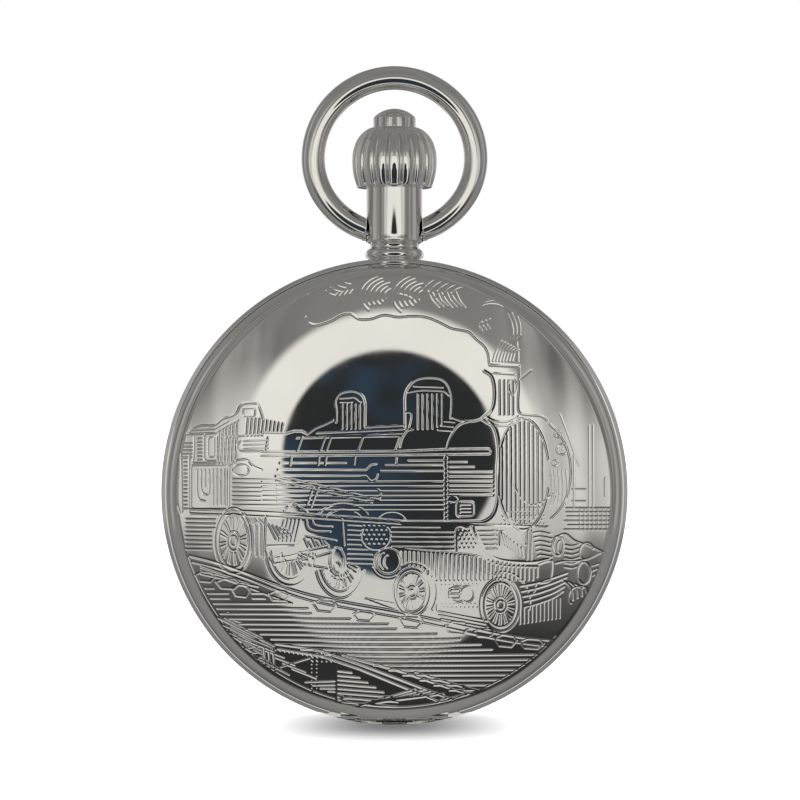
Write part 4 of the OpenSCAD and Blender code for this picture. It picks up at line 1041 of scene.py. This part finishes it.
# push button: a low dome over a straight side, with its rod
cap = [(r_, 38.80 - 2.95 + math.sqrt(2.95 ** 2 - r_ * r_)) for r_ in np.linspace(0, 2.02, 16)]
prof = cap + [(2.07, cap[-1][1] - 0.045), (2.115, cap[-1][1] - 0.10), (2.14, cap[-1][1] - 0.17), (2.15, cap[-1][1] - 0.25), (2.15, 36.5), (2.15, 35.05), (2.1, 34.97), (2.0, 34.95), (0.3, 34.95), (0.25, 34.9), (0.25, 22.5), (0, 22.5)]
lathe("push_button_turned", prof, "push_button", "polished_nickel", 128, "y", (0, 0), ("push_button",), closed=False)

# ------------------------------------------------------------------ case band
def band_mod(r, h, ang):
    return r, h


prof = fillet([(20.5, -2.7, 0.05), (23.12, -2.7, 0.1), (23.5, -2.36, 0.22), (23.5, 2.36, 0.22), (23.12, 2.7, 0.1), (20.5, 2.7, 0.05)], seg=6)
P = np.array(prof)
# finer steps across the outer side and the seam faces, so that the hinge hollow can be pressed in
dense = []
for i in range(len(P)):
    a_, b_ = P[i], P[(i + 1) % len(P)]
    d = np.linalg.norm(b_ - a_)
    k = max(1, int(d / 0.16)) if a_[0] > 21.3 or b_[0] > 21.3 else 1
    for j in range(k):
        dense.append(tuple(a_ + (b_ - a_) * j / k))
SEG = 1440
ang = np.arange(SEG) * 2 * math.pi / SEG
D = np.array(dense)
X = D[:, :1] * np.cos(ang)
Y = D[:, :1] * np.sin(ang)
Z = np.repeat(D[:, 1:], SEG, 1)
for s in (-1, 1):
    dy, dz = Y + HINGE_Y, s * Z - BAND
    near = (np.abs(X) < 7.9) & (dy < 0.02) & (dz > -0.75)
    # hollow for the cover's swinging edge: points are pressed down to its floor
    floor = np.interp(-dy, [0, 0.5, 0.88, 1.19, 1.45], [-0.72, -0.72, -0.67, -0.37, 0.02])
    Z = np.where(near & (dz > floor), s * (BAND + floor), Z)
    hit = np.zeros_like(X, bool)
    for k0, k1 in LID_KN:
        hit |= (X > k0 - 0.05) & (X < k1 + 0.05)
    dz = s * Z - BAND
    d = np.hypot(dy, dz)
    hit &= (dy >= 0) & (d < 0.7) & (dz > -0.75)
    Z = np.where(hit, s * (BAND - np.sqrt(np.maximum(0.49 - dy ** 2, 0))), Z)
# slot for the catch, open to the front; over the hole for the button's collar it is less deep
slot = (Y > 15) & (X > -0.2) & (X < 6.9) & (Y < np.where(X < 3.3, 22.25, 21.85))
low = np.where(X > 1.85, -0.7, 1.95)
Z = np.where(slot, np.minimum(Z, low), Z)
# hole under the pendant
pit = (Y > 22.9) & (np.hypot(X, Z) < 1.75)
Y = np.where(pit, 20.95, Y)
V = np.stack([X, Y, Z], -1)
fc = np.concatenate([grid_faces(len(D), SEG), np.stack([(len(D) - 1) * SEG + np.arange(SEG), (len(D) - 1) * SEG + (np.arange(SEG) + 1) % SEG, (np.arange(SEG) + 1) % SEG, np.arange(SEG)], -1)])
new_object("case_band", to_world(V).reshape(-1, 3), fc, "case", "polished_nickel", ("case_middle",), merge=False)
for s, nm in ((1, "front"), (-1, "back")):
    for i, (a, c) in enumerate(CASE_KN):
        knuckle(f"case_knuckle_{nm}_{i}", a, c, s * BAND, "case")

# ------------------------------------------------------------------ glass, bezel, dial print
prof = fillet([(19.3, 2.2), (20.5, 2.2, 0.05), (20.5, 3.05, 0.1), (20.2, 3.42, 0.15), (18.3, 4.32, 0.15), (18.06, 4.3, 0.03), (18.05, 3.2), (17.5, 3.2), (17.5, 3.0), (19.3, 2.95)], seg=5)
lathe("bezel_turned", prof, "case", "polished_nickel", 256, "z", (0, 0), ("bezel",))
zt = lambda r, t: t - 200 + math.sqrt(200 ** 2 - r * r)
prof = [(0, 5.2)] + [(r, zt(r, 5.2)) for r in np.linspace(1, 17.8, 24)] + [(17.93, zt(17.93, 5.2) - 0.04), (18.0, zt(18, 5.2) - 0.14), (18.0, zt(18.0, 4.4) + 0.05), (17.9, zt(17.9, 4.4))] + [(r, zt(r, 4.4)) for r in np.linspace(17.4, 1, 20)] + [(0, 4.4)]
lathe("crystal_dome", prof, "case", "crystal_glass", 192, "z", (0, 0), ("crystal",), closed=False)


def flat_poly(name, polys, z0, z1, body, mat):
    """Thin raised prints: polygons extruded from z0 to z1."""
    vs, fs = [], []
    for p in polys:
        k = len(vs)
        n_ = len(p)
        vs += [(x, y, z0) for x, y in p] + [(x, y, z1) for x, y in p]
        fs.append(tuple(k + n_ + i for i in range(n_)))
        fs.append(tuple(k + i for i in reversed(range(n_))))
        for i in range(n_):
            j_ = (i + 1) % n_
            fs.append((k + i, k + j_, k + n_ + j_, k + n_ + i))
    return new_object(name, to_world(np.array(vs)), fs, body, mat, smooth=False, merge=False)


def bar_poly(a, b, w0, w1=None):
    w1 = w0 if w1 is None else w1
    a, b = np.array(a, float), np.array(b, float)
    d = (b - a) / np.linalg.norm(b - a)
    n_ = np.array([-d[1], d[0]])
    return [tuple(a + n_ * w0 / 2), tuple(a - n_ * w0 / 2), tuple(b - n_ * w1 / 2), tuple(b + n_ * w1 / 2)]


def ring_polys(c, r0, r1, n_=180):
    out = []
    for i in range(n_):
        a0, a1 = 2 * math.pi * i / n_, 2 * math.pi * (i + 1) / n_
        out.append([(c[0] + r * math.cos(t), c[1] + r * math.sin(t)) for r, t in ((r0, a0), (r1, a0), (r1, a1), (r0, a1))])
    return out


prints = []
ROMAN = ["XII", "I", "II", "III", "IIII", "V", "VI", "VII", "VIII", "IX", "X", "XI"]
for i, num in enumerate(ROMAN):
    a = math.radians(90 - i * 30)
    radial = np.array([math.cos(a), math.sin(a)])
    tang = np.array([math.sin(a), -math.cos(a)])
    if i == 6:
        continue
    widths = {"I": 0.62, "V": 1.15, "X": 1.25}
    total = sum(widths[c] for c in num)
    pos = -total / 2
    rin, rout = 12.6, 15.6
    for c in num:
        w = widths[c]
        f = lambda u_, v_: tuple(tang * (pos + u_ * w) + radial * (rin + (rout - rin) * v_))
        if c == "I":
            prints.append(bar_poly(f(0.5, 0), f(0.5, 1), 0.30))
        elif c == "V":
            prints.append(bar_poly(f(0.12, 1), f(0.5, 0), 0.32))
            prints.append(bar_poly(f(0.88, 1), f(0.5, 0), 0.12))
        else:
            prints.append(bar_poly(f(0.1, 1), f(0.9, 0), 0.32))
            prints.append(bar_poly(f(0.9, 1), f(0.1, 0), 0.12))
        pos += w
    for v_ in (0, 1):
        prints.append(bar_poly(tuple(tang * (-total / 2 - 0.02) + radial * (rin + (rout - rin) * v_)), tuple(tang * (total / 2 + 0.02) + radial * (rin + (rout - rin) * v_)), 0.09))
for i in range(60):
    a = math.radians(i * 6)
    w, r0 = (0.22, 16.35) if i % 5 == 0 else (0.09, 16.5)
    prints.append(bar_poly((r0 * math.cos(a), r0 * math.sin(a)), (17.0 * math.cos(a), 17.0 * math.sin(a)), w))
prints += ring_polys((0, 0), 16.28, 16.35) + ring_polys((0, 0), 16.98, 17.05)
for i in range(60):
    a = math.radians(i * 6)
    r0 = 3.9 if i % 5 == 0 else 4.2
    prints.append(bar_poly((r0 * math.cos(a), -9 + r0 * math.sin(a)), (4.5 * math.cos(a), -9 + 4.5 * math.sin(a)), 0.07 if i % 5 else 0.12))
prints += ring_polys((0, -9), 4.5, 4.56, 120)
flat_poly("dial_print", prints, 2.899, 2.912, "case", "dial_ink")

# ------------------------------------------------------------------ carried-over CAD nodes
def assign(names, mat):
    for n_ in names:
        o = nodes[n_]
        o.data.materials.clear()
        o.data.materials.append(MATS[mat])


assign(["front_hinge_pin", "back_hinge_pin"], "polished_nickel")
assign(["dial"], "dial_enamel")
assign(["hour_hand", "minute_hand", "second_hand", "bridge_screws", "ratchet_screw", "crown_wheel_screw", "hairspring", "click_spring", "lid_spring", "catch_spring"], "blued_steel")
assign(["hour_wheel", "minute_wheel", "setting_wheel", "mainspring_barrel", "barrel_cover", "center_wheel", "third_wheel", "fourth_wheel", "balance_wheel"], "gilt_wheel")
assign(["main_plate", "barrel_bridge", "train_bridge", "pallet_bridge", "balance_cock"], "gilt_plate")
assign(["winding_stem", "button_cross_pin", "button_spring", "lid_catch", "catch_pin", "cannon_pinion", "setting_lever", "yoke", "barrel_arbor", "mainspring", "ratchet_wheel", "crown_wheel", "click", "escape_wheel", "pallet_fork", "balance_staff", "regulator", "winding_pinion", "sliding_pinion"], "steel")
assign(["movement_ring"], "ring_metal")
assign(["jewels"], "ruby")
assign(["pendant_bush", "release_collar"], "bronze_bush")

# ------------------------------------------------------------------ stage, light, camera
sc = bpy.context.scene
sc.view_settings.view_transform = "Standard"
sc.view_settings.look = "None"


class Graph:
    """Short names for building a node tree."""

    def __init__(self, tree):
        self.t = tree

    def put(self, socket, v_):
        if isinstance(v_, bpy.types.NodeSocket):
            self.t.links.new(v_, socket)
        else:
            socket.default_value = v_

    def m(self, op, a, b_=None, c_=None):
        n_ = self.t.nodes.new("ShaderNodeMath")
        n_.operation = op
        for i_, v_ in enumerate((a, b_, c_)):
            if v_ is not None:
                self.put(n_.inputs[i_], v_)
        return n_.outputs[0]

    def step(self, x_, a, b_):
        """0 at a, 1 at b, smooth between; a may be the larger."""
        n_ = self.t.nodes.new("ShaderNodeMapRange")
        n_.interpolation_type = "SMOOTHSTEP"
        self.put(n_.inputs["Value"], x_)
        n_.inputs["From Min"].default_value, n_.inputs["From Max"].default_value = (a, b_) if a < b_ else (b_, a)
        n_.inputs["To Min"].default_value, n_.inputs["To Max"].default_value = (0, 1) if a < b_ else (1, 0)
        return n_.outputs[0]

    def ramp(self, x_, stops, lo, hi):
        return ramp(self.t, self.m("DIVIDE", self.m("SUBTRACT", x_, lo), hi - lo), [((p_ - lo) / (hi - lo), c_) for p_, c_ in stops])

    def mixc(self, f_, a, b_):
        n_ = self.t.nodes.new("ShaderNodeMix")
        n_.data_type = "RGBA"
        self.put(n_.inputs[0], f_)
        self.put(n_.inputs[6], a)
        self.put(n_.inputs[7], b_)
        return n_.outputs[2]


# floor: low enough for the opened covers, with the soft contact shade on a thin sheet of its own
def emptied(name):
    mt = bpy.data.materials.new(name)
    mt.use_nodes = True
    for n_ in list(mt.node_tree.nodes):
        mt.node_tree.nodes.remove(n_)
    return mt, mt.node_tree, mt.node_tree.nodes.new("ShaderNodeOutputMaterial")


fm, ft, fo = emptied("floor")
fd = ft.nodes.new("ShaderNodeBsdfDiffuse")
fd.inputs["Color"].default_value = (0.95, 0.95, 0.95, 1)
fe = ft.nodes.new("ShaderNodeEmission")
fe.inputs["Strength"].default_value = 0.5
fa = ft.nodes.new("ShaderNodeAddShader")
ft.links.new(fd.outputs[0], fa.inputs[0])
ft.links.new(fe.outputs[0], fa.inputs[1])
ft.links.new(fa.outputs[0], fo.inputs[0])
bpy.ops.mesh.primitive_plane_add(size=8.0, location=(0, 0, -0.0037))
floor = bpy.context.object
floor.name = "floor"
floor.data.materials.append(fm)
floor.visible_glossy = False
floor.visible_transmission = False

fm, ft, fo = emptied("contact_shade")
gr = Graph(ft)
tcn = ft.nodes.new("ShaderNodeTexCoord")
sp = ft.nodes.new("ShaderNodeSeparateXYZ")
ft.links.new(tcn.outputs["Object"], sp.inputs[0])
ax = gr.m("POWER", gr.m("DIVIDE", gr.m("ABSOLUTE", sp.outputs[0]), 0.0123), 2.2)
ay = gr.m("POWER", gr.m("DIVIDE", gr.m("ABSOLUTE", gr.m("ADD", sp.outputs[1], 0.001)), 0.015), 2.6)
dark = gr.m("MULTIPLY", gr.m("EXPONENT", gr.m("MULTIPLY", gr.m("ADD", ax, ay), -1.0)), 0.88)
keep = gr.m("SUBTRACT", 1.0, dark)
cc = ft.nodes.new("ShaderNodeCombineColor")
for k_ in range(3):
    ft.links.new(keep, cc.inputs[k_])
tb = ft.nodes.new("ShaderNodeBsdfTransparent")
ft.links.new(cc.outputs[0], tb.inputs[0])
ft.links.new(tb.outputs[0], fo.inputs[0])
bpy.ops.mesh.primitive_plane_add(size=0.064, location=(0, 0, -0.00003))
shade = bpy.context.object
shade.name = "contact_shade"
shade.data.materials.append(fm)
for k_ in ("visible_glossy", "visible_diffuse", "visible_transmission", "visible_shadow"):
    setattr(shade, k_, False)


# two round soft boxes with dark middles, before and behind, seen only as reflections
def ring_light(name, side):
    mt, t_, o_ = emptied(name)
    g_ = Graph(t_)
    tc_ = t_.nodes.new("ShaderNodeTexCoord")
    s_ = t_.nodes.new("ShaderNodeSeparateXYZ")
    t_.links.new(tc_.outputs["Object"], s_.inputs[0])
    low = g_.step(s_.outputs[2], 0.002, -0.012)
    def radius(less):
        zz = g_.m("MULTIPLY", s_.outputs[2], g_.m("SUBTRACT", 1.0, g_.m("MULTIPLY", g_.step(s_.outputs[2], -0.016, -0.032), less)))
        return g_.m("MULTIPLY", g_.m("SQRT", g_.m("ADD", g_.m("POWER", g_.m("ABSOLUTE", s_.outputs[0]), 2.0), g_.m("POWER", g_.m("ABSOLUTE", zz), 2.0))), 1000.0)
    r_in, r_out = radius(0.13 if side > 0 else 0.0), radius(0.28 if side > 0 else 0.0)
    nz = t_.nodes.new("ShaderNodeTexNoise")
    nz.inputs["Scale"].default_value = 55.0
    nz.inputs["Detail"].default_value = 1.0
    t_.links.new(tc_.outputs["Object"], nz.inputs["Vector"])
    navy = g_.mixc(g_.m("MULTIPLY", g_.step(nz.outputs["Fac"], 0.44, 0.56), g_.step(s_.outputs[0], 0.012, -0.004)), *(((0.026, 0.028, 0.029, 1), (0.030, 0.050, 0.078, 1)) if side > 0 else ((0.13, 0.135, 0.14, 1), (0.11, 0.14, 0.175, 1))))
    lit = g_.mixc(low, (0.90, 0.88, 0.83, 1), (0.66, 0.65, 0.62, 1))
    col = g_.mixc(g_.step(r_in, 24.0, 25.3), navy, lit)
    em = t_.nodes.new("ShaderNodeEmission")
    t_.links.new(col, em.inputs[0])
    em.inputs[1].default_value = 1.0
    tr = t_.nodes.new("ShaderNodeBsdfTransparent")
    mx_ = t_.nodes.new("ShaderNodeMixShader")
    t_.links.new(g_.m("SUBTRACT", 1.0, g_.step(r_out, 34.2, 37.0)), mx_.inputs[0])
    t_.links.new(tr.outputs[0], mx_.inputs[1])
    t_.links.new(em.outputs[0], mx_.inputs[2])
    t_.links.new(mx_.outputs[0], o_.inputs[0])
    me_ = bpy.data.meshes.new(name)
    h_ = 0.052
    me_.from_pydata([(-h_, 0, -h_), (h_, 0, -h_), (h_, 0, h_), (-h_, 0, h_)], [], [(0, 1, 2, 3)])
    ob = bpy.data.objects.new(name, me_)
    sc.collection.objects.link(ob)
    ob.location = (-0.0012 * side, -0.048 * side, (ZC + 7.3) / 1000)
    me_.materials.append(mt)
    for k_ in ("visible_camera", "visible_diffuse", "visible_transmission", "visible_shadow"):
        setattr(ob, k_, False)


ring_light("ring_light_front", 1)
ring_light("ring_light_back", -1)

# surroundings by direction: what lights the scene is an even white dome; what the metal mirrors is a grey
# room with a bright panel at each side and, low down, a dark band of painted shadow for the watch's shadow on the floor
w = bpy.data.worlds.new("studio")
sc.world = w
w.use_nodes = True
nt = w.node_tree
for n_ in list(nt.nodes):
    nt.nodes.remove(n_)
wo = nt.nodes.new("ShaderNodeOutputWorld")
bg = nt.nodes.new("ShaderNodeBackground")
nt.links.new(bg.outputs[0], wo.inputs[0])
g = Graph(nt)
tc = nt.nodes.new("ShaderNodeTexCoord")
sp = nt.nodes.new("ShaderNodeSeparateXYZ")
nt.links.new(tc.outputs["Generated"], sp.inputs[0])
E = g.m("MULTIPLY", g.m("ARCSINE", sp.outputs[2]), 57.29578)
AZ = g.m("MULTIPLY", g.m("ARCTAN2", g.m("ABSOLUTE", sp.outputs[0]), g.m("ABSOLUTE", sp.outputs[1])), 57.29578)
AZS = g.m("MULTIPLY", g.m("ARCTAN2", sp.outputs[0], sp.outputs[1]), 57.29578)
# painted shadow: the dark band from -48 to -27 degrees elevation stands in for the watch's own shadow on the floor, as
# the metal mirrors it
room = g.ramp(E, [(-90, (0.26, 0.26, 0.255)), (-60, (0.26, 0.26, 0.255)), (-54, (0.12, 0.12, 0.12)), (-48, (0.03, 0.03, 0.03)), (-27, (0.03, 0.03, 0.03)), (-20, (0.09, 0.09, 0.088)), (-12, (0.17, 0.17, 0.165)), (-4, (0.21, 0.21, 0.20)),
                  (25, (0.235, 0.235, 0.225)), (50, (0.20, 0.20, 0.195)), (90, (0.24, 0.24, 0.235))], -90, 90)
# hanging folds: soft upright streaks
cv = nt.nodes.new("ShaderNodeCombineXYZ")
nt.links.new(g.m("MULTIPLY", AZS, 0.16), cv.inputs[0])
nt.links.new(g.m("MULTIPLY", E, 0.022), cv.inputs[1])
nz = nt.nodes.new("ShaderNodeTexNoise")
nz.inputs["Scale"].default_value = 1.0
nz.inputs["Detail"].default_value = 2.5
nt.links.new(cv.outputs[0], nz.inputs["Vector"])
fold = g.m("ADD", 0.62, g.m("MULTIPLY", g.step(nz.outputs["Fac"], 0.36, 0.66), 0.95))
span = g.m("MULTIPLY", g.step(AZ, 14.0, 26.0), g.step(AZ, 100.0, 70.0))
fold = g.m("ADD", 1.0, g.m("MULTIPLY", g.m("MULTIPLY", g.m("SUBTRACT", fold, 1.0), span), g.m("MULTIPLY", g.step(E, -25, -5), g.step(E, 75, 45))))
room2 = nt.nodes.new("ShaderNodeVectorMath")
room2.operation = "SCALE"
nt.links.new(room, room2.inputs[0])
nt.links.new(fold, room2.inputs["Scale"])
side_mask = g.m("MULTIPLY", g.m("MULTIPLY", g.step(AZ, 10.0, 16.0), g.step(AZ, 54.0, 34.0)), g.m("MULTIPLY", g.step(g.m("SUBTRACT", E, g.m("MULTIPLY", AZ, 0.28)), -23.0, -15.0), g.step(g.m("ADD", E, g.m("MULTIPLY", AZ, 0.42)), 33.0, 19.0)))
low_side = g.m("MULTIPLY", g.step(AZ, 46.0, 62.0), g.step(E, -2.0, -14.0))
col = g.mixc(low_side, room2.outputs[0], (0.25, 0.25, 0.245, 1))
behind = g.m("MULTIPLY", g.step(sp.outputs[1], 0.05, 0.25), g.step(E, -10.0, -26.0))
col = g.mixc(g.m("MULTIPLY", behind, 0.7), col, (0.22, 0.22, 0.215, 1))
panel = nt.nodes.new("ShaderNodeVectorMath")
panel.operation = "SCALE"
panel.inputs[0].default_value = (0.66, 0.65, 0.62)
nt.links.new(g.m("ADD", 0.80, g.m("MULTIPLY", g.step(nz.outputs["Fac"], 0.38, 0.60), 0.32)), panel.inputs["Scale"])
col = g.mixc(side_mask, col, panel.outputs[0])
far_mask = g.m("MULTIPLY", g.step(AZ, 76.0, 84.0), g.m("MULTIPLY", g.step(E, -14.0, -8.0), g.step(E, 50.0, 30.0)))
col = g.mixc(g.m("MULTIPLY", far_mask, 0.5), col, (0.55, 0.545, 0.53, 1))
lp = nt.nodes.new("ShaderNodeLightPath")
soft = g.m("MAXIMUM", lp.outputs["Is Camera Ray"], g.m("MAXIMUM", lp.outputs["Is Diffuse Ray"], lp.outputs["Is Transmission Ray"]))
col = g.mixc(soft, col, (1, 1, 1, 1))
nt.links.new(col, bg.inputs["Color"])
nt.links.new(g.m("ADD", 1.0, g.m("MULTIPLY", lp.outputs["Is Diffuse Ray"], 0.35)), bg.inputs["Strength"])

cam = bpy.data.cameras.new("cam")
co = bpy.data.objects.new("cam", cam)
sc.collection.objects.link(co)
sc.camera = co
co.location = (CAM_X / 1000, (YC - CAM_D) / 1000, (ZC + CAM_Y) / 1000)
co.rotation_euler = (math.radians(90), 0, 0)
cam.sensor_width = 36.0
cam.lens = 36.0 * CAM_D / (800 / 9.85)
cam.clip_start = 0.01
cam.clip_end = 50
